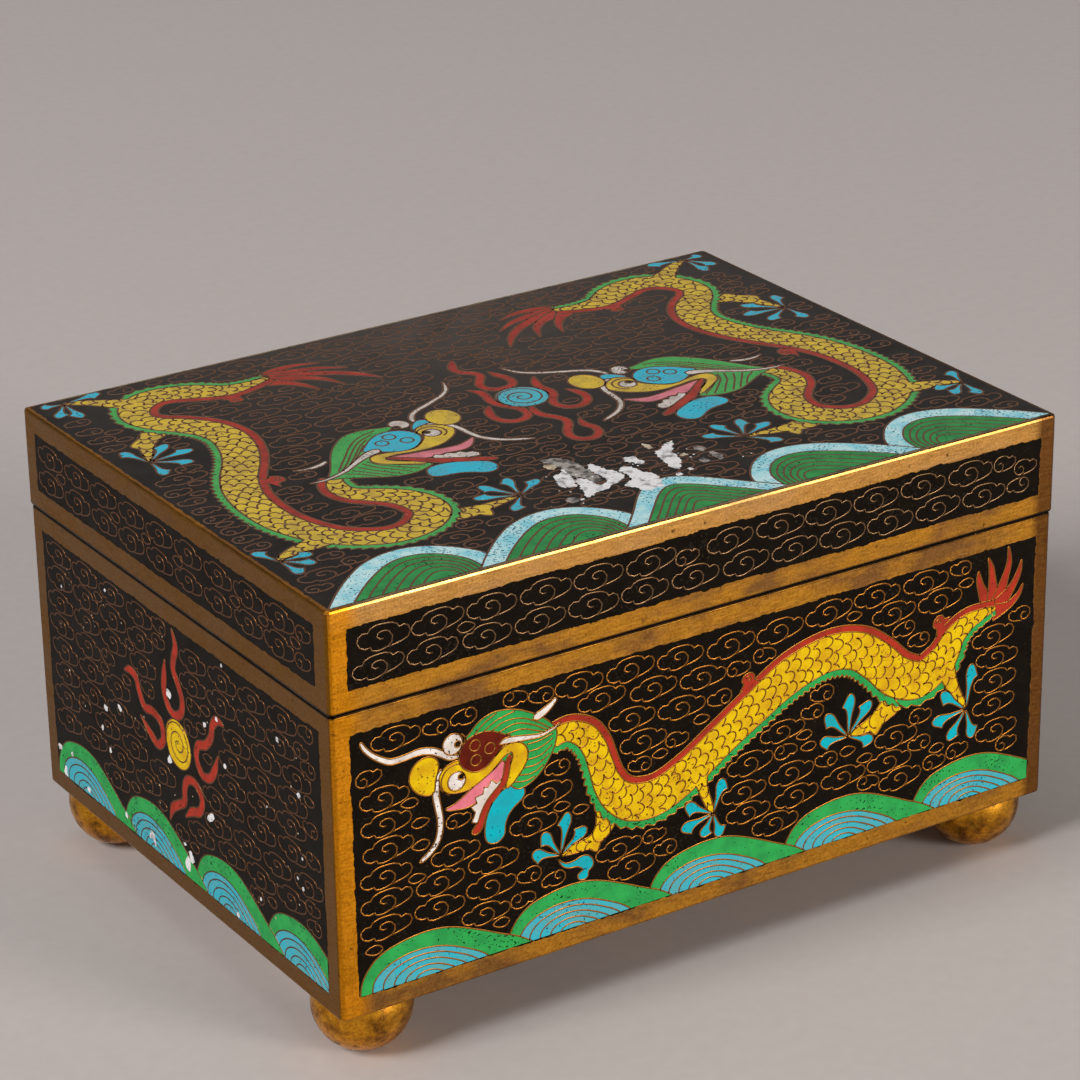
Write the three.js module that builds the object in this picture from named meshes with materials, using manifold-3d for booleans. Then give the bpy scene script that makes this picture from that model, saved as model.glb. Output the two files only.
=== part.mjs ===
// A rectangular box of brass sheet on four ball feet, with a lid that lifts off.
// Each wall and the top of the lid hold a panel of cloisonne enamel, fused into a shallow
// recess so that it ends flush with the brass around it. Box and lid are hollow and empty.
// Millimetres, +Z up, -Y the front. The origin is under the middle, where the feet stand.

import * as THREE from 'three';
import { mergeVertices } from 'three/addons/utils/BufferGeometryUtils.js';
import Module from 'manifold-3d';

const wasm = await Module();
wasm.setup();

// Overall sizes, over the brass.
const lidWidth = 125;
const lidDepth = 91;
const lidHeight = 15.6;
const baseHeight = 47;
const lidOverhang = 0.2; // the lid stands this far out past the base, on every side

// The brass sheet and the edges worn round on it.
const wallThickness = 2;
const cornerRadius = 0.8; // the upright corners
const edgeRadius = 0.4; // the edges that run round the top and bottom
const edgeSteps = 2;
const cornerSteps = 3;

// The strip inside the mouth of the base that keeps the lid in place.
const rimThickness = 1;
const rimRise = 3; // above the mouth
const rimFall = 4; // below it, where it is brazed to the walls
const rimClearance = lidOverhang; // between the strip and the lid's inner walls

// The enamel panels, each with the brass left around it.
const enamelDepth = 0.7;
const enamelGap = 0.05; // keeps the fused enamel a solid of its own
const longCornerStrip = 3.1; // beside the panels of the front and back, from the lid's corner
const shortCornerStrip = 3.7; // beside the panels of the two sides
const baseBands = { below: 3.2, above: 3.5 };
const lidBands = { below: 3.4, above: 3.2 };
const topBorder = 0.9;

// The ball feet: each is cut flat where it meets the underside and where it stands.
const footHeight = 9.2;
const footRadius = 7.4;
const footInset = 7.5; // from the middle of the ball to the base's two faces
const ballDrop = 1.94; // from the underside down to the middle of the ball
const footSides = 32;
const footSteps = 14;

const baseWidth = lidWidth - 2 * lidOverhang;
const baseDepth = lidDepth - 2 * lidOverhang;
const mouthHeight = footHeight + baseHeight;
const totalHeight = mouthHeight + lidHeight;

const brass = { color: 0xb07a24, metalness: 0.9, roughness: 0.38 };
const blackEnamel = { color: 0x17151a, metalness: 0, roughness: 0.2 };

// ---- solids and their joining ----

function solidOf(geometry) {
  const bare = geometry.clone();
  bare.deleteAttribute('normal');
  bare.deleteAttribute('uv');
  const merged = mergeVertices(bare, 1e-5);
  const vertProperties = new Float32Array(merged.attributes.position.array);
  const triVerts = new Uint32Array(merged.index.array);
  return new wasm.Manifold(new wasm.Mesh({ numProp: 3, vertProperties, triVerts }));
}

function geometryOf(solid) {
  const { vertProperties, triVerts } = solid.getMesh();
  const geometry = new THREE.BufferGeometry();
  geometry.setAttribute('position', new THREE.BufferAttribute(vertProperties, 3));
  geometry.setIndex(new THREE.BufferAttribute(triVerts, 1));
  geometry.computeVertexNormals();
  return geometry;
}

// A plain block between two opposite corners.
function blockBetween(low, high) {
  const size = high.map((value, i) => value - low[i]);
  const middle = high.map((value, i) => (value + low[i]) / 2);
  return new THREE.BoxGeometry(...size).translate(...middle);
}

// A block over the middle of the part, width by depth, from one height to another.
function blockOver(width, depth, bottom, top) {
  return blockBetween([-width / 2, -depth / 2, bottom], [width / 2, depth / 2, top]);
}

// The same with its upright corners rounded, and the edges of its top and bottom too.
function roundedBlockOver(width, depth, bottom, top) {
  const x = width / 2 - cornerRadius;
  const y = depth / 2 - cornerRadius;
  const outline = new THREE.Shape();
  outline.absarc(x, y, cornerRadius, 0, Math.PI / 2);
  outline.absarc(-x, y, cornerRadius, Math.PI / 2, Math.PI);
  outline.absarc(-x, -y, cornerRadius, Math.PI, Math.PI * 1.5);
  outline.absarc(x, -y, cornerRadius, Math.PI * 1.5, Math.PI * 2);
  const block = new THREE.ExtrudeGeometry(outline, {
    depth: top - bottom - 2 * edgeRadius,
    curveSegments: cornerSteps,
    bevelThickness: edgeRadius,
    bevelSize: edgeRadius,
    bevelOffset: -edgeRadius,
    bevelSegments: edgeSteps,
  });
  return block.translate(0, 0, bottom + edgeRadius);
}

// ---- enamel panels ----

// The four walls, each by the direction it faces, with half the room its panel has sideways.
const walls = {
  front: { axis: 1, side: -1, halfSpan: lidWidth / 2 - longCornerStrip },
  back: { axis: 1, side: 1, halfSpan: lidWidth / 2 - longCornerStrip },
  left: { axis: 0, side: -1, halfSpan: lidDepth / 2 - shortCornerStrip },
  right: { axis: 0, side: 1, halfSpan: lidDepth / 2 - shortCornerStrip },
};

// A block set into one wall: from its face inwards by depth, or out past the face by proud.
function wallBlock(wall, faceAt, bottom, top, depth, proud, shrink) {
  const along = 1 - wall.axis;
  const inner = wall.side * (faceAt - depth);
  const outer = wall.side * (faceAt + proud);
  const low = [0, 0, bottom + shrink];
  const high = [0, 0, top - shrink];
  low[wall.axis] = Math.min(inner, outer);
  high[wall.axis] = Math.max(inner, outer);
  low[along] = -wall.halfSpan + shrink;
  high[along] = wall.halfSpan - shrink;
  return blockBetween(low, high);
}

function wallPanel(wall, width, depth, bottom, top) {
  const faceAt = (wall.axis === 0 ? width : depth) / 2;
  return {
    recess: wallBlock(wall, faceAt, bottom, top, enamelDepth, 1, 0),
    enamel: wallBlock(wall, faceAt, bottom, top, enamelDepth - enamelGap, 0, enamelGap),
  };
}

function topPanel() {
  const width = lidWidth - 2 * topBorder;
  const depth = lidDepth - 2 * topBorder;
  const recessFloor = totalHeight - enamelDepth;
  const shrunk = 2 * enamelGap;
  return {
    recess: blockOver(width, depth, recessFloor, totalHeight + 1),
    enamel: blockOver(width - shrunk, depth - shrunk, recessFloor + enamelGap, totalHeight),
  };
}

function basePanels() {
  const bottom = footHeight + baseBands.below;
  const top = mouthHeight - baseBands.above;
  const panels = {};
  for (const [name, wall] of Object.entries(walls)) {
    panels[name] = wallPanel(wall, baseWidth, baseDepth, bottom, top);
  }
  return panels;
}

function lidPanels() {
  const bottom = mouthHeight + lidBands.below;
  const top = totalHeight - lidBands.above;
  const panels = { top: topPanel() };
  for (const [name, wall] of Object.entries(walls)) {
    panels[name] = wallPanel(wall, lidWidth, lidDepth, bottom, top);
  }
  return panels;
}

function cutRecesses(shell, panels) {
  let cut = shell;
  for (const { recess } of Object.values(panels)) cut = cut.subtract(solidOf(recess));
  return cut;
}

// ---- the brass ----

function baseShell(panels) {
  const innerWidth = baseWidth - 2 * wallThickness;
  const innerDepth = baseDepth - 2 * wallThickness;
  const floorTop = footHeight + wallThickness;
  const outside = solidOf(roundedBlockOver(baseWidth, baseDepth, footHeight, mouthHeight));
  const inside = solidOf(blockOver(innerWidth, innerDepth, floorTop, mouthHeight + 1));

  // The strip runs a little into the walls, so that it joins them, up to the mouth only.
  const rimWidth = lidWidth - 2 * (wallThickness + rimClearance);
  const rimDepth = lidDepth - 2 * (wallThickness + rimClearance);
  const rimBottom = mouthHeight - rimFall;
  const rimTop = mouthHeight + rimRise;
  const seat = 0.2;
  const strip = solidOf(blockOver(rimWidth, rimDepth, rimBottom, rimTop));
  const brazed = solidOf(blockOver(rimWidth + seat, rimDepth + seat, rimBottom, mouthHeight - 1));
  const way = solidOf(blockOver(
    rimWidth - 2 * rimThickness,
    rimDepth - 2 * rimThickness,
    rimBottom - 1,
    rimTop + 1,
  ));
  const rim = strip.add(brazed).subtract(way);
  return cutRecesses(outside.subtract(inside).add(rim), panels);
}

function lidShell(panels) {
  const innerWidth = lidWidth - 2 * wallThickness;
  const innerDepth = lidDepth - 2 * wallThickness;
  const ceiling = totalHeight - wallThickness;
  const outside = solidOf(roundedBlockOver(lidWidth, lidDepth, mouthHeight, totalHeight));
  const inside = solidOf(blockOver(innerWidth, innerDepth, mouthHeight - 1, ceiling));
  return cutRecesses(outside.subtract(inside), panels);
}

function footGeometry() {
  const ballMiddle = footHeight - ballDrop;
  const soleAngle = Math.acos(ballMiddle / footRadius);
  const crownAngle = Math.PI - Math.acos(ballDrop / footRadius);
  const profile = [new THREE.Vector2(0, 0)];
  for (let i = 0; i <= footSteps; i += 1) {
    const angle = THREE.MathUtils.lerp(soleAngle, crownAngle, i / footSteps);
    const height = ballMiddle - footRadius * Math.cos(angle);
    profile.push(new THREE.Vector2(footRadius * Math.sin(angle), height));
  }
  profile[1].y = 0;
  profile[footSteps + 1].y = footHeight;
  profile.push(new THREE.Vector2(0, footHeight));
  // Turned upright: the lathe's own axis is Y.
  return new THREE.LatheGeometry(profile, footSides).rotateX(Math.PI / 2);
}

// ---- the whole part ----

function addMesh(group, name, geometry, look) {
  const mesh = new THREE.Mesh(geometry, new THREE.MeshStandardMaterial(look));
  mesh.name = name;
  group.add(mesh);
  return mesh;
}

function addEnamel(group, prefix, panels) {
  for (const [name, { enamel }] of Object.entries(panels)) {
    addMesh(group, `${prefix}_enamel_${name}`, enamel, blackEnamel);
  }
}

const box = new THREE.Group();

const base = new THREE.Group();
const panelsOfBase = basePanels();
addMesh(base, 'base_shell', geometryOf(baseShell(panelsOfBase)), brass);
addEnamel(base, 'base', panelsOfBase);
for (const [front, y] of [['front', -1], ['back', 1]]) {
  for (const [left, x] of [['left', -1], ['right', 1]]) {
    const foot = addMesh(base, `foot_${front}_${left}`, footGeometry(), brass);
    foot.position.set(x * (baseWidth / 2 - footInset), y * (baseDepth / 2 - footInset), 0);
  }
}
box.add(base);

const lid = new THREE.Group();
const panelsOfLid = lidPanels();
addMesh(lid, 'lid_shell', geometryOf(lidShell(panelsOfLid)), brass);
addEnamel(lid, 'lid', panelsOfLid);
box.add(lid);

export default box;
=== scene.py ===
import math
import random

import bmesh
import bpy
import numpy as np
from mathutils import Matrix, Vector
from mathutils.geometry import delaunay_2d_cdt


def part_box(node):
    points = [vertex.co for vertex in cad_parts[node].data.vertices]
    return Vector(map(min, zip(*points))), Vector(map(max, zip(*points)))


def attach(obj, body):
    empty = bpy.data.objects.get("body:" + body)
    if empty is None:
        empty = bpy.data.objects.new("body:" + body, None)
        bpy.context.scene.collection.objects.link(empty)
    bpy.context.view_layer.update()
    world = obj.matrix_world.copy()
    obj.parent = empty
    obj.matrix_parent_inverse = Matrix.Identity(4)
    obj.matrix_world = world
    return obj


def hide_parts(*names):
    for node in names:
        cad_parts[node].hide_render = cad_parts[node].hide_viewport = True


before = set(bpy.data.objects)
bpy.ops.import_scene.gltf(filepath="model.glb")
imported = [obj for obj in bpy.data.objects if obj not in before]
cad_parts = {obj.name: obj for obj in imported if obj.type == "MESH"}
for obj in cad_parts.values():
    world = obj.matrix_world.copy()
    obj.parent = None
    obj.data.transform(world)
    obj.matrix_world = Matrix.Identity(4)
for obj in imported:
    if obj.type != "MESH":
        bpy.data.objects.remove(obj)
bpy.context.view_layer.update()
mm = 0.001
print("frame loaded")


def linear(hexColour, alpha=1.0):
    parts = [int(hexColour[i:i + 2], 16) / 255 for i in (1, 3, 5)]
    return [p / 12.92 if p <= 0.04045 else ((p + 0.055) / 1.055) ** 2.4 for p in parts] + [alpha]


def addNode(tree, kind, settings=None, links=None):
    # Settings are attributes or input values; a link may start at a node or at one of its sockets
    node = tree.nodes.new(kind)
    for key, value in (settings or {}).items():
        if isinstance(value, str) and value.startswith("#"):
            value = linear(value)
        if isinstance(key, str) and hasattr(node, key):
            setattr(node, key, value)
        else:
            node.inputs[key].default_value = value
    for key, source in (links or {}).items():
        if isinstance(source, bpy.types.Node):
            source = next(s for s in source.outputs if s.enabled)
        tree.links.new(source, node.inputs[key])
    return node


def newMaterial(name):
    # The material, its emptied tree, and the object's own coordinates in metres
    material = bpy.data.materials.new(name)
    material.use_nodes = True
    tree = material.node_tree
    tree.nodes.clear()
    return material, tree, addNode(tree, "ShaderNodeTexCoord").outputs["Object"]


# Cloisonne enamel is powdered glass fired in cells and polished flat: glossy, cloudy in tone,
# with small burst bubbles left as dark pits that have filled with dirt.
enamelLooks = {
    "blackEnamel": {"body": "#0e0904", "cloud": "#140e08", "pit": "#221b14", "pits": 0.34},
    "yellowEnamel": {"body": "#e0bc0e", "cloud": "#c99b15", "pit": "#5c4012", "pits": 0.31},
    "redEnamel": {"body": "#ad3322", "cloud": "#922e20", "pit": "#3e0f0b", "pits": 0.30},
    "greenEnamel": {"body": "#30a350", "cloud": "#2a9049", "pit": "#0a2e15", "pits": 0.335},
    "cyanEnamel": {"body": "#0aafbe", "cloud": "#1ea0ae", "pit": "#0b4450", "pits": 0.32},
    "turquoiseEnamel": {"body": "#36acbe", "cloud": "#54a3ac", "pit": "#1f5b66", "pits": 0.335},
    "whiteEnamel": {"body": "#e8e2dc", "cloud": "#ccc2ba", "pit": "#4c423c", "pits": 0.36},
    "pinkEnamel": {"body": "#e57f8e", "cloud": "#cf6e7c", "pit": "#6b2a34", "pits": 0.30},
    "brownEnamel": {"body": "#661c0e", "cloud": "#52180d", "pit": "#220804", "pits": 0.30},
    # the lid's top is worn dull by hands; its black ground also carries a painted reflection
    "lidBlackEnamel": {"body": "#0e0907", "cloud": "#18110d", "pit": "#33291f", "pits": 0.36,
                       "paintedSheen": "#5a504a"},
    "lidYellowEnamel": {"body": "#d6b638", "cloud": "#b99b40", "pit": "#5c4318", "pits": 0.33},
    "lidRedEnamel": {"body": "#a83528", "cloud": "#8c2e24", "pit": "#3e0f0b", "pits": 0.32},
    "lidGreenEnamel": {"body": "#4aa855", "cloud": "#419a50", "pit": "#10341a", "pits": 0.34},
    "darkGreenEnamel": {"body": "#38914f", "cloud": "#327d47", "pit": "#0c2c17", "pits": 0.34},
    "lidCyanEnamel": {"body": "#2fb6d0", "cloud": "#49a8be", "pit": "#15505c", "pits": 0.34},
    "lidTurquoiseEnamel": {"body": "#45b4c6", "cloud": "#5aa7b4", "pit": "#1f5b66", "pits": 0.38},
    "paleBlueEnamel": {"body": "#bfe0e2", "cloud": "#86cbd8", "pit": "#3a7a8c", "pits": 0.40},
    "lidWhiteEnamel": {"body": "#d6cfc8", "cloud": "#b6aca4", "pit": "#4c423c", "pits": 0.38},
    "lidPinkEnamel": {"body": "#d97f8a", "cloud": "#bf6c78", "pit": "#6b2a34", "pits": 0.32},
}
bubbleSize = 0.42 * mm
meltSize = 2.2 * mm  # how far apart the glass grains clouded as they fused
# A painted reflection, mottled by the wear noise, lies brightest on the far half of the lid and fades over
# these reaches
sheenMiddle = {"vector_type": "TEXTURE", "Location": (0.008, 0.045, 0.0718),
                "Scale": (0.072, 0.06, 0.05)}
lidShine, wallShine = 0.32, 0.05


def enamel(name):
    look = enamelLooks[name]
    material, tree, place = newMaterial(name)
    melt = addNode(tree, "ShaderNodeTexNoise", {"Scale": 1 / meltSize, "Detail": 3}, {"Vector": place})
    clouding = addNode(tree, "ShaderNodeMapRange", {"From Min": 0.38, "From Max": 0.66}, {"Value": melt})
    bubbles = addNode(tree, "ShaderNodeTexNoise", {"Scale": 1 / bubbleSize, "Detail": 1}, {"Vector": place})
    wear = addNode(tree, "ShaderNodeTexNoise", {"Scale": 1 / (6 * mm), "Detail": 4}, {"Vector": place})
    crowd = addNode(tree, "ShaderNodeMath", {"operation": "MULTIPLY_ADD", 1: 0.45, 2: -0.225}, {0: wear})
    gathered = addNode(tree, "ShaderNodeMath", {"operation": "ADD"}, {0: bubbles, 1: crowd})
    pit = addNode(tree, "ShaderNodeMapRange", {"From Min": look["pits"], "From Max": look["pits"] - 0.06},
                  {"Value": gathered})
    body = addNode(tree, "ShaderNodeMix", {"data_type": "RGBA", 6: look["body"], 7: look["cloud"]},
                   {0: clouding})
    # painted reflection: a paler film over the far half of the lid's black ground
    if "paintedSheen" in look:
        middle = addNode(tree, "ShaderNodeMapping", sheenMiddle, {"Vector": place})
        sheenFalloff = addNode(tree, "ShaderNodeTexGradient", {"gradient_type": "SPHERICAL"}, {"Vector": middle})
        mottledSheen = addNode(tree, "ShaderNodeMath", {"operation": "MULTIPLY"}, {0: sheenFalloff, 1: wear})
        body = addNode(tree, "ShaderNodeMix", {"data_type": "RGBA", 7: look["paintedSheen"]}, {0: mottledSheen, 6: body})
    colour = addNode(tree, "ShaderNodeMix", {"data_type": "RGBA", 7: look["pit"]}, {0: pit, 6: body})
    polish = addNode(tree, "ShaderNodeMapRange",
                     {"From Min": 0.35, "From Max": 0.7, "To Min": 0.24, "To Max": 0.42}, {"Value": wear})
    rough = addNode(tree, "ShaderNodeMath", {"operation": "MULTIPLY_ADD", 1: 0.3}, {0: pit, 2: polish})
    ripple = addNode(tree, "ShaderNodeBump", {"Strength": 0.2, "Distance": 0.03 * mm}, {"Height": melt})
    dent = addNode(tree, "ShaderNodeBump", {"Strength": 0.5, "Distance": 0.03 * mm, "invert": True},
                   {"Height": pit, "Normal": ripple})
    shine = lidShine if name.startswith("lid") else wallShine
    shader = addNode(tree, "ShaderNodeBsdfPrincipled", {"IOR": 1.5, "Specular IOR Level": shine},
                     {"Base Color": colour, "Roughness": rough, "Normal": dent})
    addNode(tree, "ShaderNodeOutputMaterial", links={"Surface": shader})
    return material


# Gilt brass sheet, brushed along its length: a warm grainy metal, browned in patches where the
# gilding has worn and handling has tarnished it.
brassLooks = {
    "giltBrassSheet": {"bright": "#cc8f30", "brown": "#745030", "stain": "#4a2e16", "patch": 7,
                       "stretch": (0.45, 0.45, 1), "tarnished": 0.85, "rough": (0.26, 0.42),
                       "brush": (0.12, 0.12, 1), "grain": 0.55},
    "giltBrassFoot": {"bright": "#e8a42c", "deep": "#b4731c", "brown": "#5e3e1c", "stain": "#2e2014",
                      "patch": 3.2, "stretch": (1, 1, 1), "tarnished": 0.95, "rough": (0.18, 0.34),
                      "brush": (0.6, 0.6, 1), "grain": 0.7},
}
seam = {"height": 56.2, "wide": 0.6, "dirt": "#120a05"}  # painted shade along the joint between the lid and the base
# Painted highlight and painted shade on the sheet: along one axis from none to all of it, in millimetres
paintedLightBands = [
    # painted highlight along the lid's upper strip, and brighter still on its rim
    {"axis": "Z", "none": 68.4, "all": 69.0, "colour": "#e8b470", "share": 0.45},
    {"axis": "Z", "none": 71.7, "all": 71.78, "colour": "#e8d2ae", "share": 0.7},
    # painted highlight at the left corner
    {"axis": "X", "none": -57.0, "all": -59.5, "colour": "#dc8f12", "share": 0.85},
    # painted shade at the right corner and on the left side
    {"axis": "X", "none": 58.2, "all": 59.8, "colour": "#6c4420", "share": 0.9},
    {"axis": "X", "none": -62.15, "all": -62.25, "colour": "#835a1b", "share": 0.95},
]


def brushedBrass(name):
    look = brassLooks[name]
    material, tree, place = newMaterial(name)
    drawnOut = addNode(tree, "ShaderNodeMapping", {"Scale": look["stretch"]}, {"Vector": place})
    patches = addNode(tree, "ShaderNodeTexNoise",
                      {"Scale": 1 / (look["patch"] * mm), "Detail": 5, "Roughness": 0.62},
                      {"Vector": drawnOut})
    tarnish = addNode(tree, "ShaderNodeMapRange",
                      {"From Min": 0.44, "From Max": 0.60, "To Max": look["tarnished"]}, {"Value": patches})
    grit = addNode(tree, "ShaderNodeTexNoise", {"Scale": 1 / (0.35 * mm), "Detail": 2}, {"Vector": place})
    speck = addNode(tree, "ShaderNodeMapRange", {"From Min": 0.42, "From Max": 0.64,
                                                 "To Max": look["grain"]},
                    {"Value": grit})
    spots = addNode(tree, "ShaderNodeTexNoise", {"Scale": 1 / (1.1 * mm), "Detail": 3}, {"Vector": place})
    stained = addNode(tree, "ShaderNodeMapRange", {"From Min": 0.66, "From Max": 0.76, "To Max": 0.8},
                      {"Value": spots})
    colour = addNode(tree, "ShaderNodeMix", {"data_type": "RGBA", 6: look["bright"], 7: look["brown"]},
                     {0: tarnish})
    if name == "giltBrassSheet":
        where = addNode(tree, "ShaderNodeSeparateXYZ", links={0: place})
        # painted highlight and painted shade in bands along the sheet
        for part in paintedLightBands:
            paintedLight = addNode(tree, "ShaderNodeMapRange",
                           {"From Min": part["none"] * mm, "From Max": part["all"] * mm,
                            "To Max": part["share"]}, {"Value": where.outputs[part["axis"]]})
            colour = addNode(tree, "ShaderNodeMix", {"data_type": "RGBA", 7: part["colour"]},
                             {0: paintedLight, 6: colour})
        # a narrow band of painted shade along the joint between lid and base
        rise = addNode(tree, "ShaderNodeMath", {"operation": "SUBTRACT", 1: seam["height"] * mm},
                       {0: where.outputs["Z"]})
        off = addNode(tree, "ShaderNodeMath", {"operation": "ABSOLUTE"}, {0: rise})
        seamShade = addNode(tree, "ShaderNodeMapRange", {"From Min": seam["wide"] * mm,
                                                     "From Max": seam["wide"] / 2 * mm}, {"Value": off})
        colour = addNode(tree, "ShaderNodeMix", {"data_type": "RGBA", 7: seam["dirt"]},
                         {0: seamShade, 6: colour})
        darker = addNode(tree, "ShaderNodeMix", {"data_type": "RGBA", "blend_type": "MULTIPLY", 0: 1.0,
                                                 7: "#c4b49c"}, {6: colour})
        grainy = addNode(tree, "ShaderNodeMix", {"data_type": "RGBA"}, {0: speck, 6: colour, 7: darker})
    else:
        grainy = addNode(tree, "ShaderNodeMix", {"data_type": "RGBA", 7: look["deep"]},
                         {0: speck, 6: colour})
    worn = addNode(tree, "ShaderNodeMix", {"data_type": "RGBA", 7: look["stain"]}, {0: stained, 6: grainy})
    along = addNode(tree, "ShaderNodeMapping", {"Scale": look["brush"]}, {"Vector": place})
    brushed = addNode(tree, "ShaderNodeTexNoise", {"Scale": 1 / (0.3 * mm), "Detail": 2}, {"Vector": along})
    sheen = addNode(tree, "ShaderNodeMapRange", {"From Min": 0.3, "From Max": 0.7,
                                                 "To Min": look["rough"][0],
                                                 "To Max": look["rough"][1]}, {"Value": brushed})
    dulled = addNode(tree, "ShaderNodeMath", {"operation": "MULTIPLY_ADD", 1: 0.15}, {0: tarnish, 2: sheen})
    lines = addNode(tree, "ShaderNodeBump", {"Strength": 0.35, "Distance": 0.03 * mm}, {"Height": brushed})
    grain = addNode(tree, "ShaderNodeBump", {"Strength": 0.15, "Distance": 0.03 * mm},
                    {"Height": grit, "Normal": lines})
    shader = addNode(tree, "ShaderNodeBsdfPrincipled", {"Metallic": 1.0},
                     {"Base Color": worn, "Roughness": dulled, "Normal": grain})
    addNode(tree, "ShaderNodeOutputMaterial", links={"Surface": shader})
    return material


# Copper alloy wire bent on edge and ground flush: even in colour, its polish broken by scratches.
wireLooks = {
    "brightWire": {"colour": "#9c6628", "metal": 1.0, "thick": 0.24},
    # a darker copy of the wire for the left side: painted shade
    "rubbedWire": {"colour": "#856646", "metal": 1.0, "thick": 0.2},
    "sideWire": {"colour": "#7d5230", "metal": 1.0, "thick": 0.22},
    "brownedWire": {"colour": "#694630", "metal": 0.2, "thick": 0.3},
}


def cellWire(name):
    look = wireLooks[name]
    material, tree, place = newMaterial(name)
    scratch = addNode(tree, "ShaderNodeTexNoise", {"Scale": 1 / (0.5 * mm), "Detail": 2}, {"Vector": place})
    rough = addNode(tree, "ShaderNodeMapRange", {"From Min": 0.3, "From Max": 0.7, "To Min": 0.3,
                                                 "To Max": 0.48},
                    {"Value": scratch})
    shader = addNode(tree, "ShaderNodeBsdfPrincipled", {"Metallic": look["metal"],
                                                        "Base Color": look["colour"]},
                     {"Roughness": rough})
    addNode(tree, "ShaderNodeOutputMaterial", links={"Surface": shader})
    return material


# Lime plaster smeared into the lost enamel: dry and chalky, with grey dirt in it.
plasterLooks = {
    "limePlaster": {"clean": "#e4e1e2", "dirt": "#8d8a8e", "from": 0.50, "to": 0.66},
    "dirtyPlaster": {"clean": "#a39c96", "dirt": "#4a4442", "from": 0.42, "to": 0.60},
    "creamPlaster": {"clean": "#c9b9a0", "dirt": "#7d6a52", "from": 0.46, "to": 0.66},
}


def plaster(name):
    look = plasterLooks[name]
    material, tree, place = newMaterial(name)
    grime = addNode(tree, "ShaderNodeTexNoise", {"Scale": 1 / (1.6 * mm), "Detail": 4, "Roughness": 0.65},
                    {"Vector": place})
    dirt = addNode(tree, "ShaderNodeMapRange", {"From Min": look["from"], "From Max": look["to"]},
                   {"Value": grime})
    colour = addNode(tree, "ShaderNodeMix", {"data_type": "RGBA", 6: look["clean"], 7: look["dirt"]},
                     {0: dirt})
    crumb = addNode(tree, "ShaderNodeTexNoise", {"Scale": 1 / (0.5 * mm), "Detail": 4}, {"Vector": place})
    rough = addNode(tree, "ShaderNodeMapRange", {"From Min": 0.3, "From Max": 0.7, "To Min": 0.5,
                                                 "To Max": 0.8},
                    {"Value": crumb})
    bump = addNode(tree, "ShaderNodeBump", {"Strength": 0.8, "Distance": 0.12 * mm}, {"Height": crumb})
    shader = addNode(tree, "ShaderNodeBsdfPrincipled", {},
                     {"Base Color": colour, "Roughness": rough, "Normal": bump})
    addNode(tree, "ShaderNodeOutputMaterial", links={"Surface": shader})
    return material


finishes = {}
for make, names in ((enamel, enamelLooks), (brushedBrass, brassLooks), (cellWire, wireLooks),
                    (plaster, plasterLooks)):
    finishes.update({name: make(name) for name in names})
print("finishes ready")


# Lines and shapes in the plane of a panel, in millimetres.
def smoothLine(points, closed=False, step=0.4):
    # A smooth curve through given points; a third value, a half width, is smoothed as well
    p = np.array(points, float)
    ends = (p[-1:], p[:2]) if closed else (2 * p[:1] - p[1:2], 2 * p[-1:] - p[-2:-1])
    q = np.vstack((ends[0], p, ends[1]))
    line = []
    for a, b, c, d in zip(q[:-3], q[1:-2], q[2:-1], q[3:]):
        count = max(1, round(float(np.hypot(*(c - b)[:2])) / step))
        for t in np.arange(count) / count:
            line.append(0.5 * (2 * b + (c - a) * t + (2 * a - 5 * b + 4 * c - d) * t ** 2
                               + (3 * b - a - 3 * c + d) * t ** 3))
    if not closed:
        line.append(p[-1])
    return np.array(line)


def joinedLine(strokes, step=0.4):
    # Smooth strokes end to end, with a sharp corner where two of them meet
    parts = [smoothLine(s, step=step) for s in strokes]
    return np.vstack([parts[0]] + [p[1:] for p in parts[1:]])


def closedLine(line):
    return np.vstack((line, line[:1]))


def ringLine(x, y, radius, squash=1.0, turn=0.0, count=20):
    angle = np.arange(count) * 2 * math.pi / count
    ring = np.stack((radius * np.cos(angle), radius * squash * np.sin(angle)), 1)
    c, s = math.cos(turn), math.sin(turn)
    return ring @ np.array([[c, s], [-s, c]]) + (x, y)


def spiralLine(x, y, radius, turns, start=0.0, count=36):
    t = np.linspace(0.06, 1, count)
    angle = start + t * turns * 2 * math.pi
    return np.stack((x + radius * t * np.cos(angle), y + radius * t * np.sin(angle)), 1)


def sideways(line):
    # The unit normal to the left of a line at each of its points
    along = np.gradient(line[:, :2], axis=0)
    along /= np.maximum(np.hypot(along[:, 0], along[:, 1]), 1e-9)[:, None]
    return np.stack((-along[:, 1], along[:, 0]), 1)


def bandLine(points, step=0.4):
    # The closed outline of a brush stroke given as (x, y, half width)
    line = smoothLine(points, step=step)
    reach = sideways(line) * line[:, 2:3]
    return np.vstack((line[:, :2] + reach, (line[:, :2] - reach)[::-1]))


def insideOf(polygon, points):
    x, y = points[..., 0], points[..., 1]
    inside = np.zeros(x.shape, bool)
    for (x0, y0), (x1, y1) in zip(polygon, np.roll(polygon, -1, 0)):
        if y0 != y1:
            cross = (y0 > y) != (y1 > y)
            inside ^= cross & (x < (x1 - x0) * (y - y0) / (y1 - y0) + x0)
    return inside


def meetingPoint(polygon, a, b):
    # Where the way from a to b first crosses the polygon's outline
    side = np.roll(polygon, -1, 0) - polygon
    way = b - a
    gap = polygon - a
    with np.errstate(divide="ignore", invalid="ignore"):
        skew = way[0] * side[:, 1] - way[1] * side[:, 0]
        t = (gap[:, 0] * side[:, 1] - gap[:, 1] * side[:, 0]) / skew
        u = (gap[:, 0] * way[1] - gap[:, 1] * way[0]) / skew
    met = (t >= 0) & (t <= 1) & (u >= 0) & (u <= 1)
    return a + way * t[met].min() if met.any() else a


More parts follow.
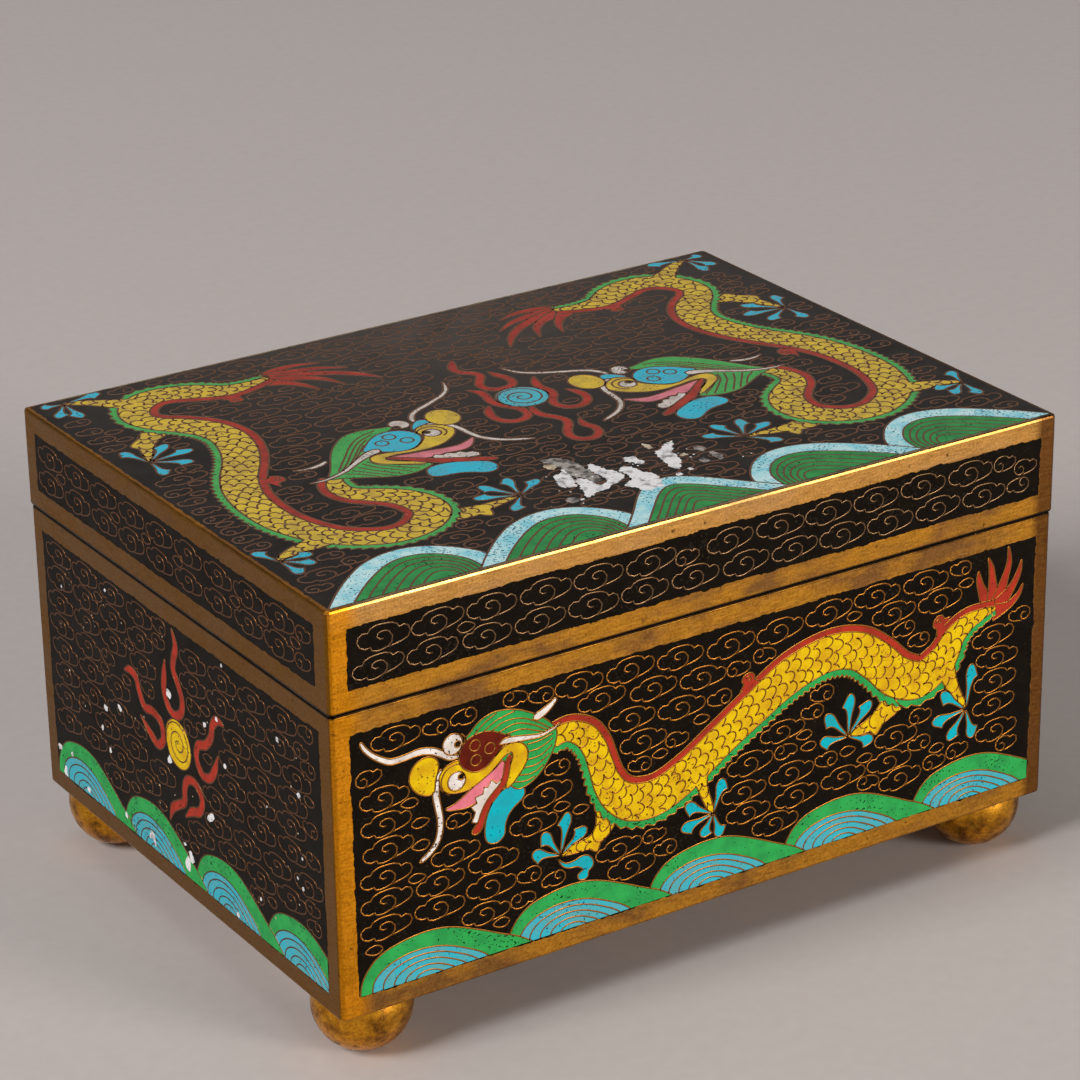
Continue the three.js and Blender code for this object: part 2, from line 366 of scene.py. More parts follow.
def cutLine(line, polygon, keepInside=False):
    # The stretches of a line that lie outside a polygon, or inside it
    low, high = polygon.min(0), polygon.max(0)
    if (line.max(0) < low).any() or (line.min(0) > high).any():
        return [] if keepInside else [line]
    kept = insideOf(polygon, line) == keepInside
    if kept.all():
        return [line]
    runs, run = [], []
    for i, point in enumerate(line):
        if i and kept[i] != kept[i - 1]:
            run.append(meetingPoint(polygon, line[i - 1], point))
        if kept[i]:
            run.append(point)
        elif run:
            runs.append(np.array(run))
            run = []
    if run:
        runs.append(np.array(run))
    return [r for r in runs if len(r) > 1]


def placed(scale=1.0, turn=0.0, flip=False, pivot=(0, 0), at=(0, 0), squash=1.0):
    # Returns a function that flips, scales and turns points about pivot and moves pivot to at
    c, s = math.cos(math.radians(turn)) * scale, math.sin(math.radians(turn)) * scale

    def move(points):
        p = np.array(points, float)
        q = (p[:, :2] - pivot) * (-1 if flip else 1, squash)
        q = q @ np.array([[c, s], [-s, c]]) + at
        return np.hstack((q, p[:, 2:] * scale))

    return move


stay = placed()


# A drawing holds the cells of enamel in the order they lie, and the wires between them.
def newDrawing(box, ground):
    return {"box": box, "ground": ground, "cells": [], "wires": []}


def addWire(drawing, line):
    drawing["wires"].append(np.asarray(line)[:, :2])


def addCell(drawing, polygon, enamelName, wired=True):
    # A cell laid later hides the wires it covers
    polygon = np.asarray(polygon)[:, :2]
    drawing["wires"] = [run for line in drawing["wires"] for run in cutLine(line, polygon)]
    drawing["cells"].append((polygon, enamelName))
    if wired:
        addWire(drawing, closedLine(polygon))


def pensFor(drawing, move, fine=0.3):
    # Three ways to draw in the picture's own place: a smooth cell, a brush stroke and a wire
    def cell(points, name, wired=True):
        addCell(drawing, move(smoothLine(points, True, fine)), name, wired)

    def stroke(points, name):
        addCell(drawing, bandLine(move(points), fine), name)

    def wire(points):
        addWire(drawing, move(smoothLine(points, step=fine)))

    return cell, stroke, wire


# One cloud is a wire that starts in its curl, runs out along the bottom and back over the lobes.
cloudStrokes = [
    [(0.05, -0.22), (-0.5, -0.28), (-1.05, 0.1), (-0.85, 0.62), (-0.05, 0.82), (0.85, 0.6), (1.4, -0.1),
     (1.3, -0.9), (0.75, -1.45), (-0.1, -1.68), (-1.0, -1.78), (-1.75, -1.62), (-2.0, -1.1)],
    [(-2.0, -1.1), (-2.9, -1.25), (-3.7, -0.85), (-4.1, -0.15), (-3.95, 0.5), (-3.3, 0.95), (-2.45, 0.88)],
    [(-2.45, 0.88), (-2.1, 1.42), (-1.3, 1.72), (0.0, 1.78), (1.3, 1.68), (2.1, 1.35), (2.4, 0.86)],
    [(2.4, 0.86), (3.15, 1.12), (3.85, 0.8), (4.15, 0.1), (3.85, -0.62), (3.0, -1.05), (2.0, -1.3),
     (0.8, -1.5)],
]
curlStrokes = [
    [(-1.35, 0.0), (-0.75, 0.18), (-0.32, -0.28), (-0.45, -0.9), (-0.95, -1.2), (-1.6, -1.0), (-2.1, -0.4),
     (-2.05, 0.45), (-1.45, 1.0), (-0.5, 1.18), (0.3, 1.05), (0.75, 0.62)],
    [(0.75, 0.62), (1.35, 0.88), (2.0, 0.5), (2.02, -0.3), (1.4, -0.8), (0.4, -1.1), (-0.55, -1.22)],
]
cloudStep = 0.6


def hullOf(strokes, first):
    # The outer outline alone, without the curl
    return joinedLine([strokes[0][first:]] + strokes[1:], 0.7)


leaf = smoothLine([(-1.4, 0.1), (-0.7, 0.68), (0.3, 0.7), (1.45, 0.05), (0.5, -0.62), (-0.7, -0.66)], True)
cloudKinds = {
    "cloud": {"wire": joinedLine(cloudStrokes, cloudStep), "hull": hullOf(cloudStrokes, 8), "wide": 8.25,
              "indent": 1.2, "lifts": (0, 0.2, -0.2, 0.4, -0.4, 0.6, -0.6)},
    "curl": {"wire": joinedLine(curlStrokes, cloudStep), "hull": hullOf(curlStrokes, 4), "wide": 4.15,
             "indent": 0.4, "lifts": (0, 0.4, -0.4, 0.8, -0.8)},
    "leaf": {"wire": closedLine(leaf), "hull": leaf * 1.1},
}
cloudRows = {"down": 3.98, "gap": (0.25, 0.6), "odd": 0.06, "oddGap": 0.5, "leaves": 0.3, "margin": 0.35,
             "drift": 0.8, "driftLength": 11, "driftRows": 5, "jitter": 0.06, "hunt": 0.35,
             "fill": (0.8, 0.7), "fillFrom": 1}
cloudUneven = {"scale": (0.96, 1.03), "turn": (-4, 4), "flipped": 0.4, "squash": (0.96, 1.06)}
maskCell = 0.2  # the free ground is kept on squares of this size
maskReach = 4  # and so many of them round a shape are looked at


def markTaken(mask, polygon, grow):
    first = np.maximum(((polygon.min(0) - mask["low"]) / maskCell).astype(int) - maskReach, 0)
    last = np.maximum(((polygon.max(0) - mask["low"]) / maskCell).astype(int) + maskReach + 1, 0)
    window = (slice(first[0], last[0]), slice(first[1], last[1]))
    if mask["taken"][window].size == 0:
        return
    filled = insideOf(polygon, mask["grid"][window])
    for _ in range(grow):
        wide = filled.copy()
        wide[1:] |= filled[:-1]
        wide[:-1] |= filled[1:]
        wide[:, 1:] |= filled[:, :-1]
        wide[:, :-1] |= filled[:, 1:]
        filled = wide
    mask["taken"][window] |= filled


def groundMask(drawing):
    low, high = drawing["box"]
    xs = np.arange(low[0], high[0], maskCell) + maskCell / 2
    ys = np.arange(low[1], high[1], maskCell) + maskCell / 2
    grid = np.stack(np.meshgrid(xs, ys, indexing="ij"), -1)
    mask = {"taken": np.zeros(grid.shape[:2], bool), "grid": grid, "low": low}
    for polygon, _ in drawing["cells"]:
        markTaken(mask, polygon, 2)
    edge = round(cloudRows["margin"] / maskCell)
    for side in (np.s_[:edge], np.s_[-edge:], np.s_[:, :edge], np.s_[:, -edge:]):
        mask["taken"][side] = True
    return mask


def isFree(mask, points):
    at = np.floor((points - mask["low"]) / maskCell).astype(int)
    if (at < 0).any() or (at >= mask["taken"].shape).any():
        return False
    return not mask["taken"][at[:, 0], at[:, 1]].any()


def layCloud(drawing, mask, kind, middle, rng, lifts):
    small = kind != "cloud"
    scale = rng.uniform(*cloudUneven["scale"])
    turn = rng.uniform(*cloudUneven["turn"])
    flip = small and rng.random() < cloudUneven["flipped"]
    over = small and rng.random() < cloudUneven["flipped"]
    squash = -1.0 if over else rng.uniform(*cloudUneven["squash"])
    for lift in lifts:
        spot = np.array(middle) + (0, lift)
        move = placed(scale, turn, flip, at=spot, squash=squash)
        outline = move(cloudKinds[kind]["hull"])
        if isFree(mask, outline) and isFree(mask, (outline + spot) / 2):
            addWire(drawing, move(cloudKinds[kind]["wire"]))
            markTaken(mask, outline, 1)
            return True
    return False


def fillWithClouds(drawing, seed):
    # Full clouds in rows that drift up and down, then curls and a few leaves in the gaps that are left
    rng = random.Random(seed)
    figure, drawing["wires"] = drawing["wires"], []
    mask = groundMask(drawing)
    low, high = drawing["box"]
    inner = high[1] - low[1] - 2 * cloudRows["margin"]
    rows = max(1, round(inner / cloudRows["down"]))
    drift = cloudRows["drift"] if rows > cloudRows["driftRows"] else 0
    jitter, start = cloudRows["jitter"], cloudRows["fillFrom"]
    for kind in ("cloud", "curl"):
        wide, indent, lifts = (cloudKinds[kind][key] for key in ("wide", "indent", "lifts"))
        for row in range(rows):
            level = high[1] - cloudRows["margin"] - inner * (row + 0.5) / rows
            x = low[0] + cloudRows["margin"] + rng.uniform(0, indent) + wide / 2
            while x < high[0] - wide / 2:
                sway = drift * math.sin(x / cloudRows["driftLength"] + seed)
                y = level + sway + rng.uniform(-jitter, jitter)
                if layCloud(drawing, mask, kind, (x, y), rng, lifts):
                    x += wide + rng.uniform(*cloudRows["gap"])
                    if kind == "cloud" and rng.random() < cloudRows["odd"]:
                        x += cloudKinds["curl"]["wide"] + cloudRows["oddGap"]
                else:
                    x += cloudRows["hunt"]
    for kind, share in (("curl", 1), ("leaf", cloudRows["leaves"])):
        for x in np.arange(low[0] + start, high[0], cloudRows["fill"][0]):
            for y in np.arange(low[1] + start, high[1], cloudRows["fill"][1]):
                if rng.random() < share:
                    layCloud(drawing, mask, kind, (x, y), rng, (0,))
    drawing["wires"] += figure


wallWave = {
    "crest": [(-11.2, 2.9), (-10.8, 5.2), (-9.6, 7.2), (-7.8, 8.7), (-5.2, 9.6), (-1.5, 10.15), (2, 10.0),
              (5, 9.2), (8.5, 7.7), (12, 6.0), (15, 4.6), (17.6, 2.9)],
    "trough": [(-9.2, 2.9), (-9.0, 4.5), (-7.9, 5.9), (-5.8, 7.0), (-3.0, 7.6), (0, 7.55), (3, 6.9),
               (5.8, 5.7), (8.4, 4.3), (10.2, 2.9)],
    "swell": (0.3, 2.7), "arcs": (0.82, 0.63, 0.44, 0.26), "outer": "greenEnamel",
    "inner": "turquoiseEnamel",
}
lidWave = {
    "crest": [(-17.6, 0.6), (-14.2, 4.4), (-10.4, 8.0), (-6.4, 11.0), (-2, 12.6), (2, 12.5), (5.6, 10.7),
              (8.3, 7.8), (9.8, 5.0), (10.6, 0.6)],
    "trough": [(-13.6, 0.6), (-10.2, 4.0), (-6.4, 7.2), (-2.8, 9.4), (0.4, 9.9), (3.4, 8.9), (5.8, 6.4),
               (6.9, 3.8), (7.1, 0.6)],
    "swell": (1.6, 0.4), "arcs": (0.86, 0.72, 0.58, 0.44, 0.3), "outer": "paleBlueEnamel",
    "inner": "darkGreenEnamel",
}
lidMiddleWave = dict(
    lidWave,
    crest=[(-14.0, 0.6), (-10, 5.0), (-5.5, 10.2), (-2.2, 12.7), (0, 13.1), (2.2, 12.7), (5.5, 10.2),
           (10, 5.0),
           (14.0, 0.6)],
    trough=[(-10.4, 0.6), (-6.6, 4.8), (-3, 8.6), (0, 10.2), (3, 8.6), (6.6, 4.8), (10.4, 0.6)],
    swell=(0, 0.4))


def drawWave(drawing, wave, x, wide=1.0, tall=1.0, flip=False):
    foot = wave["crest"][0][1]

    def move(points):
        p = (np.array(points) - (0, foot)) * (wide * (-1 if flip else 1), tall)
        return p + (x, foot)

    crest = smoothLine(move(wave["crest"]))
    trough = smoothLine(move(wave["trough"]))
    for outline, name in ((crest, wave["outer"]), (trough, wave["inner"])):
        addCell(drawing, outline, name, False)
        addWire(drawing, outline)
    middle = move([wave["swell"]])
    for share in wave["arcs"]:
        addWire(drawing, middle + (trough - middle) * share)


toeShape = {
    "outer": [(0.06, 0.1), (0.3, 0.26), (0.5, 0.4), (0.66, 0.66), (0.8, 0.86), (0.94, 0.74), (1.03, 0.3),
              (1.03, -0.2), (0.97, -0.62), (0.86, -1.0), (0.75, -1.4)],
    "inner": [(0.75, -1.4), (0.7, -0.86), (0.6, -0.52), (0.45, -0.34), (0.25, -0.24), (0.06, -0.1)],
}
scaleShape = {"wide": 1.95, "rowStep": 0.9, "deep": 0.66, "uneven": 0.17, "bend": 1.45, "points": 9}
serration = {"pitch": 1.3, "depth": 0.6}
enameller = random.Random(3)  # the unevenness of the hand that bent the wires


def drawClaw(drawing, move, wrist, tips):
    # Toes like drops with a spur on one side, spread from the wrist
    for *tip, side in tips:
        along = np.array(tip, float) - wrist
        across = np.array([-along[1], along[0]]) / np.hypot(*along) * side
        strokes = [[np.array(wrist) + along * a + across * b for a, b in toeShape[half]]
                   for half in ("outer", "inner")]
        addCell(drawing, move(joinedLine(strokes, 0.3)), "cyanEnamel")


def lengthAlong(line):
    return np.concatenate(([0], np.cumsum(np.hypot(*np.diff(line[:, :2], axis=0).T))))


def drawScales(drawing, line, left, right, start=0.6):
    # Rows of round scales that point down the line, each row set half a scale aside.
    # left and right are how far the rows stay inside the line's edges.
    normal = sideways(line)
    length = lengthAlong(line)
    bend = np.linspace(-scaleShape["bend"], scaleShape["bend"], scaleShape["points"])
    wide, uneven = scaleShape["wide"], scaleShape["uneven"]
    at = wide * start
    row = 0
    while at < length[-1]:
        half = np.interp(at, length, line[:, 2])
        low, high = right - half, half - left
        count = max(1, round((high - low) / wide))
        each = (high - low) / count
        for j in range(count + row % 2):
            middle = low + (j + 0.5 - 0.5 * (row % 2)) * each + enameller.uniform(-uneven, uneven)
            deep = wide * (scaleShape["deep"] + enameller.uniform(-uneven, uneven))
            across = middle + np.sin(bend) * each / 2
            along = at + enameller.uniform(-uneven, uneven) + np.cos(bend) * deep
            keep = (across >= low - 0.01) & (across <= high + 0.01) & (along < length[-1])
            if keep.sum() > 1:
                spot = np.stack([np.interp(along[keep], length, line[:, k]) for k in (0, 1)], 1)
                lean = np.stack([np.interp(along[keep], length, normal[:, k]) for k in (0, 1)], 1)
                addWire(drawing, spot + lean * across[keep][:, None])
        at += wide * scaleShape["rowStep"]
        row += 1


def drawBody(drawing, spine, backSide, skin, stripe):
    # The spine runs from head to tail; backSide is +1 where the red back lies to its left
    line = smoothLine(spine, step=0.25)
    normal = sideways(line) * backSide
    xy, half = line[:, :2], line[:, 2:3]
    phase = lengthAlong(line) / serration["pitch"] % 1
    tooth = np.minimum(phase / 0.75, (1 - phase) / 0.25)[:, None] * serration["depth"]
    tooth = tooth * np.clip(half / 2 - 0.5, 0, 1)
    backEdge, backSeam = xy + normal * half, xy + normal * (half - stripe[0])
    bellyEdge, bellySeam = xy - normal * (half + tooth - 0.3), xy - normal * (half - stripe[1])
    core = np.vstack((backSeam, bellySeam[::-1]))
    addCell(drawing, core, skin, False)
    addCell(drawing, np.vstack((backEdge, backSeam[::-1])), "redEnamel")
    addCell(drawing, np.vstack((bellyEdge, bellySeam[::-1])), "greenEnamel")
    inset = (stripe if backSide > 0 else stripe[::-1])
    drawScales(drawing, line, inset[0], inset[1])
    return core


def drawLimb(drawing, move, body, spine, skin, spur=None):
    # A leg grows out of the body with no wire between; with no body given it will lie under one
    shapes = [bandLine(move(spine), 0.3)]
    if spur:
        shapes.append(move(smoothLine(spur, True, 0.3)))
    for outline in shapes:
        addCell(drawing, outline, skin, False)
    for outline in shapes:
        runs = [closedLine(outline)]
        for other in shapes + ([] if body is None else [body]):
            if other is not outline:
                runs = [part for run in runs for part in cutLine(run, other)]
        for run in runs:
            addWire(drawing, run)
    drawScales(drawing, smoothLine(move(spine), step=0.3), 0.0, 0.0, 0.2)


def drawKnob(drawing, move, x, y, turn, size=1.0):
    knob = [(-1.9, -0.3), (-1.0, 0.5), (-1.15, 1.25), (-0.5, 1.9), (0.5, 1.9), (1.15, 1.25), (1.0, 0.5),
            (1.9, -0.3)]
    bump = placed(size, turn, at=(x, y))(smoothLine(knob, step=0.3))
    addCell(drawing, move(bump), "redEnamel", False)
    addWire(drawing, move(bump))
    addWire(drawing, move(placed(size, turn, at=(x, y))(spiralLine(0.1, 1.0, 0.6, 1.1, 2.0, 12))))


def wallHead(drawing, move):
    cell, stroke, wire = pensFor(drawing, move)
    # beard and mane, combed back to the neck
    cell([(25.5, 27.1), (27.0, 28.4), (28.8, 28.8), (30.3, 28.3), (30.8, 27.2), (30.3, 26.2), (29.1, 25.4),
          (28.1, 24.4), (27.5, 23.0), (27.3, 21.5), (26.3, 20.6), (25.0, 20.7), (24.2, 21.6), (24.1, 23.3),
          (24.5, 25.2)], "cyanEnamel")
    cell([(21.3, 37.4), (22.2, 38.9), (23.6, 40.1), (25.6, 40.8), (27.8, 40.7), (30.0, 40.1), (32.2, 39.0),
          (34.0, 37.8), (35.4, 36.5), (36.2, 35.2), (36.1, 33.8), (35.5, 32.2), (34.3, 30.4), (32.8, 28.9),
          (31.2, 28.1), (29.8, 27.9), (28.4, 28.9), (27.0, 31.5), (25.0, 34.5)], "greenEnamel")
    for lock in ([(22.6, 38.2), (24.4, 39.6), (26.4, 40.6)],
                 [(24.0, 38.2), (26.2, 39.4), (29.4, 40.1)],
                 [(25.4, 38.0), (27.6, 38.9), (30.4, 38.7), (33.2, 37.3), (35.2, 35.8)],
                 [(26.6, 37.5), (29.2, 38.1), (31.8, 37.4), (35.2, 35.4)],
                 [(27.8, 36.9), (30.4, 37.0), (32.6, 36.2), (35.0, 35.2)],
                 [(31.2, 34.4), (33.2, 34.4), (35.6, 34.9)],
                 [(31.1, 33.2), (33.4, 33.3), (35.6, 34.2)],
                 [(31.0, 32.0), (33.4, 32.1), (35.4, 33.2)],
                 [(30.6, 30.9), (33.0, 30.9), (34.9, 32.0)],
                 [(29.9, 30.0), (32.0, 29.7), (34.0, 30.5)],
                 [(29.0, 29.2), (30.8, 28.8), (32.6, 29.1)]):
        wire(lock)
    cell([(32.7, 38.7), (33.9, 39.2), (35.0, 39.7), (36.0, 40.3), (36.3, 39.9), (35.4, 38.9), (34.3, 38.1),
          (33.2, 37.7), (32.4, 38.0)], "whiteEnamel")
    # whiskers
    stroke([(20.2, 35.7, 0.2), (18.8, 35.9, 0.42), (17.4, 36.8, 0.5), (15.8, 37.7, 0.52), (13.8, 38.1, 0.5),
            (11.5, 37.9, 0.45), (9.4, 37.9, 0.45), (7.9, 38.6, 0.42), (6.4, 39.7, 0.36), (5.3, 40.9, 0.34),
            (4.8, 41.8, 0.25), (4.7, 42.1, 0.1)], "whiteEnamel")
    stroke([(17.4, 34.4, 0.3), (16.6, 32.9, 0.5), (16.3, 30.9, 0.52), (16.6, 28.8, 0.5), (16.9, 26.9, 0.48),
            (16.8, 25.0, 0.46), (16.2, 23.4, 0.42), (15.1, 22.2, 0.4), (13.8, 21.4, 0.3),
            (13.4, 21.2, 0.1)],
           "whiteEnamel")
    # muzzle and cheek
    cell([(17.0, 33.6), (17.9, 34.6), (19.4, 35.1), (20.9, 34.8), (22.5, 33.4), (24.5, 33.1), (26.0, 34.0),
          (27.3, 35.0), (28.8, 35.4), (30.4, 34.9), (31.3, 33.7), (31.3, 32.2), (30.6, 30.9), (29.6, 29.8),
          (28.8, 29.0), (27.8, 28.6), (27.7, 29.8), (28.0, 31.0), (28.5, 32.2), (28.9, 33.2), (28.6, 34.0),
          (27.5, 33.6), (26.2, 32.5), (24.7, 31.3), (23.0, 30.5), (21.0, 30.1), (19.0, 30.3), (17.6, 30.9),
          (17.0, 31.8), (16.9, 32.8)], "yellowEnamel")
    # gum, teeth and the long lip
    cell([(17.8, 28.2), (19.3, 28.6), (20.8, 29.4), (22.3, 30.3), (24.0, 31.1), (25.8, 32.1), (27.2, 33.0),
          (27.8, 32.0), (27.5, 30.6), (26.3, 29.9), (24.6, 29.3), (23.4, 28.2), (22.3, 27.6), (20.9, 27.4),
          (19.4, 27.6), (18.3, 27.8)], "pinkEnamel")
    teeth = [(27.6, 29.4), (26.9, 30.2), (26.1, 29.8), (25.4, 30.6), (24.7, 29.6), (24.1, 29.8),
             (23.9, 28.8),
             (22.6, 28.6), (22.9, 27.6), (21.9, 27.3), (22.6, 26.3), (22.3, 25.6), (22.0, 24.9),
             (22.9, 24.5),
             (23.6, 24.2), (24.4, 25.6), (25.4, 27.4), (26.6, 28.5)]
    addCell(drawing, move(teeth), "whiteEnamel")
    stroke([(28.5, 33.6, 0.25), (28.0, 32.2, 0.48), (27.7, 30.6, 0.46), (27.1, 29.3, 0.5),
            (25.9, 28.2, 0.54),
            (24.8, 27.1, 0.54), (24.0, 25.8, 0.52), (23.5, 24.5, 0.56), (22.9, 23.6, 0.66),
            (22.3, 23.3, 0.5),
            (22.0, 23.2, 0.2)], "redEnamel")
    cell([(12.1, 34.4), (12.5, 33.0), (13.5, 31.8), (15.0, 31.1), (16.1, 31.4), (16.3, 33.0), (16.8, 34.6),
          (16.7, 36.0), (15.6, 36.9), (14.1, 36.9), (12.7, 36.0)], "yellowEnamel")
    # eyes with their lids
    wire(ringLine(19.5, 32.3, 2.3, 1.0, 0.5)[:13])
    for x, y, radius, lookX, lookY in ((19.2, 37.8, 1.6, 0.8, -0.2), (19.7, 32.0, 1.45, 0.75, 0.5)):
        addCell(drawing, move(ringLine(x, y, radius)), "whiteEnamel")
        addCell(drawing, move(ringLine(x + lookX, y + lookY, 0.5, count=12)), "blackEnamel")
    wire([(20.6, 39.1), (21.3, 38.2), (21.3, 37.1), (20.8, 36.3)])
    # brow with its three rings
    cell([(20.2, 35.4), (20.6, 36.9), (21.8, 37.9), (23.6, 38.3), (25.6, 38.0), (27.4, 37.1), (28.6, 36.4),
          (27.4, 35.3), (26.0, 34.0), (24.5, 32.8), (22.8, 32.5), (21.2, 33.3), (20.3, 34.4)],
          "brownEnamel")
    for x, y in ((22.8, 36.6), (25.2, 35.5), (22.9, 34.3)):
        wire(closedLine(ringLine(x, y, 0.85, count=14)))
    stroke([(26.8, 35.7, 0.12), (27.8, 35.9, 0.45), (29.6, 35.7, 0.45), (31.6, 35.4, 0.36),
            (33.6, 35.2, 0.28),
            (35.4, 35.6, 0.22), (36.9, 36.2, 0.1)], "whiteEnamel")


def lidHead(drawing, move):
    cell, stroke, wire = pensFor(drawing, move)
    cell([(36.3, 33.3), (36.9, 34.8), (38.2, 35.6), (40.0, 35.7), (41.8, 35.3), (43.6, 34.5), (45.2, 33.5),
          (46.3, 32.2), (46.4, 30.7), (45.6, 29.5), (44.3, 29.1), (43.1, 29.6), (41.9, 30.5), (40.5, 31.2),
          (38.9, 31.5), (37.4, 31.8), (36.5, 32.4)], "cyanEnamel")
    cell([(41.2, 51.8), (39.6, 52.8), (37.6, 53.4), (35.4, 53.5), (33.2, 52.8), (31.1, 51.0), (29.4, 49.1),
          (27.9, 46.9), (26.6, 44.6), (25.2, 42.3), (23.9, 40.5), (23.9, 39.5), (25.6, 38.9), (28.0, 37.6),
          (30.4, 36.2), (32.4, 35.3), (34.6, 35.0), (36.8, 35.4), (38.9, 36.6), (37.4, 38.6), (34.0, 42.0),
          (35.0, 47.0)], "greenEnamel")
    for lock in ([(38.6, 52.4), (35.4, 51.4), (32.6, 49.2), (29.2, 45.2), (26.2, 41.6)],
                 [(37.2, 51.2), (34.4, 49.8), (31.6, 47.0), (28.8, 43.6), (26.6, 41.4)],
                 [(35.8, 50.0), (33.6, 48.2), (31.0, 45.2), (28.6, 42.6)],
                 [(34.4, 48.4), (32.6, 46.4), (30.6, 44.2)],
                 [(26.6, 40.2), (28.4, 38.8), (30.2, 36.6)],
                 [(28.0, 40.8), (29.6, 38.8), (31.9, 35.9)],
                 [(29.3, 41.4), (30.6, 39.2), (33.4, 35.6)],
                 [(30.5, 42.2), (31.6, 39.8), (33.4, 37.6), (35.0, 35.6)],
                 [(31.5, 42.6), (32.4, 40.4), (34.4, 38.2), (36.6, 36.0)],
                 [(33.4, 40.2), (35.4, 38.4), (37.8, 36.6)]):
        wire(lock)
    stroke([(26.7, 46.0, 0.3), (25.3, 45.3, 0.45), (23.8, 45.0, 0.38), (22.4, 45.1, 0.3),
            (21.0, 45.7, 0.12)],
           "whiteEnamel")
    # whiskers and the bridge of the nose
    stroke([(45.2, 51.6, 0.3), (45.5, 53.2, 0.45), (46.6, 54.8, 0.46), (48.2, 55.9, 0.45),
            (50.2, 56.8, 0.44),
            (52.2, 57.8, 0.42), (54.2, 58.9, 0.4), (55.7, 60.2, 0.38), (56.6, 61.7, 0.34),
            (57.4, 63.8, 0.12)],
           "whiteEnamel")
    cell([(43.4, 49.6), (44.4, 51.2), (45.6, 52.2), (46.8, 52.0), (47.2, 50.9), (46.4, 50.0), (44.9, 49.4)],
         "cyanEnamel")
    # muzzle and cheek
    cell([(43.3, 48.4), (44.1, 49.6), (46.0, 50.2), (48.0, 49.8), (49.1, 48.3), (48.8, 46.5), (47.8, 44.7),
          (46.0, 43.2), (44.0, 42.2), (41.5, 41.8), (39.0, 42.0), (36.8, 42.4), (35.0, 42.3), (34.3, 41.5),
          (35.2, 40.4), (36.4, 39.4), (37.8, 38.4), (38.6, 37.4), (37.8, 37.2), (36.2, 38.2), (34.2, 39.5),
          (32.7, 40.7), (32.1, 42.2), (32.6, 43.5), (34.0, 44.0), (36.4, 43.6), (39.6, 43.0), (42.0, 44.6),
          (43.4, 46.4)], "yellowEnamel")
    stroke([(46.2, 50.2, 0.3), (47.6, 49.6, 0.45), (48.8, 48.2, 0.5), (49.4, 46.2, 0.5), (49.6, 43.8, 0.5),
            (50.1, 41.4, 0.48), (51.4, 39.4, 0.46), (53.1, 38.0, 0.42), (55.0, 37.0, 0.38),
            (56.5, 36.3, 0.14)],
           "whiteEnamel")
    # gum, teeth and the long lip
    cell([(34.9, 42.2), (38.0, 41.7), (41.0, 41.2), (43.5, 40.7), (45.8, 40.6), (47.5, 41.2), (49.3, 42.0),
          (48.6, 40.7), (47.4, 39.3), (46.0, 38.6), (44.4, 38.6), (42.6, 38.9), (40.6, 38.7), (38.8, 39.0),
          (37.4, 40.1), (36.0, 41.1)], "pinkEnamel")
    teeth = [(40.1, 38.6), (41.0, 39.3), (41.9, 38.5), (42.9, 38.9), (43.6, 38.1), (44.6, 38.3),
             (45.2, 37.4),
             (46.2, 37.3), (46.8, 36.3), (46.4, 35.4), (45.2, 35.3), (43.4, 36.1), (41.6, 37.2),
             (40.3, 37.9)]
    addCell(drawing, move(teeth), "whiteEnamel")
    stroke([(34.5, 42.2, 0.3), (36.4, 40.5, 0.55), (38.4, 38.6, 0.75), (40.4, 37.0, 0.85),
            (42.4, 35.9, 0.8),
            (44.4, 34.8, 0.75), (46.2, 33.8, 0.72), (47.4, 33.2, 0.55), (47.9, 33.0, 0.2)], "redEnamel")
    # eyes
    addCell(drawing, move(ringLine(42.8, 52.4, 1.5, 1.15, 0.4)), "whiteEnamel")
    addCell(drawing, move(ringLine(41.9, 51.6, 0.55, count=12)), "blackEnamel")
    wire(ringLine(45.2, 47.0, 2.2, 1.0, -1.2)[:14])
    addCell(drawing, move(ringLine(45.1, 46.8, 1.4)), "whiteEnamel")
    addCell(drawing, move(ringLine(44.5, 47.4, 0.55, count=12)), "blackEnamel")
    addCell(drawing, move(ringLine(49.7, 51.2, 3.2, 0.83, 1.45, 26)), "yellowEnamel")
    # brow with its three rings
    cell([(33.0, 46.1), (34.3, 47.8), (36.0, 49.5), (38.0, 50.7), (40.0, 50.9), (41.8, 50.1), (42.9, 48.6),
          (43.1, 46.8), (42.2, 45.0), (40.6, 43.6), (38.8, 43.0), (36.8, 43.5), (35.2, 44.6)], "cyanEnamel")
    for x, y in ((36.9, 47.4), (39.0, 48.9), (40.6, 46.4)):
        wire(closedLine(ringLine(x, y, 1.0, count=14)))
    stroke([(35.3, 45.3, 0.45), (34.6, 45.3, 0.78), (33.2, 44.9, 0.75), (31.4, 44.0, 0.58),
            (29.4, 42.7, 0.46),
            (27.2, 41.3, 0.4), (25.0, 40.4, 0.36), (22.8, 39.9, 0.32), (20.6, 40.0, 0.14)], "whiteEnamel")


def drawPearl(drawing, x, y, radius, name, flames, half):
    for flame in flames:
        stroke = [(px, py, half) for px, py in flame[1:-1]]
        stroke = [(*flame[0], 0.12)] + stroke + [(*flame[-1], 0.12)]
        addCell(drawing, bandLine(stroke), "redEnamel")
    addCell(drawing, ringLine(x, y, radius, count=32), name)
    addWire(drawing, spiralLine(x, y, radius, 2.6))


weldDistance = 1e-6


def meshFrom(bm, name):
    mesh = bpy.data.meshes.new(name)
    bm.to_mesh(mesh)
    bm.free()
    return mesh


def meshPiece(name, mesh, materials):
    piece = bpy.data.objects.new(name, mesh)
    bpy.context.scene.collection.objects.link(piece)
    for material in materials:
        mesh.materials.append(material)
    return piece


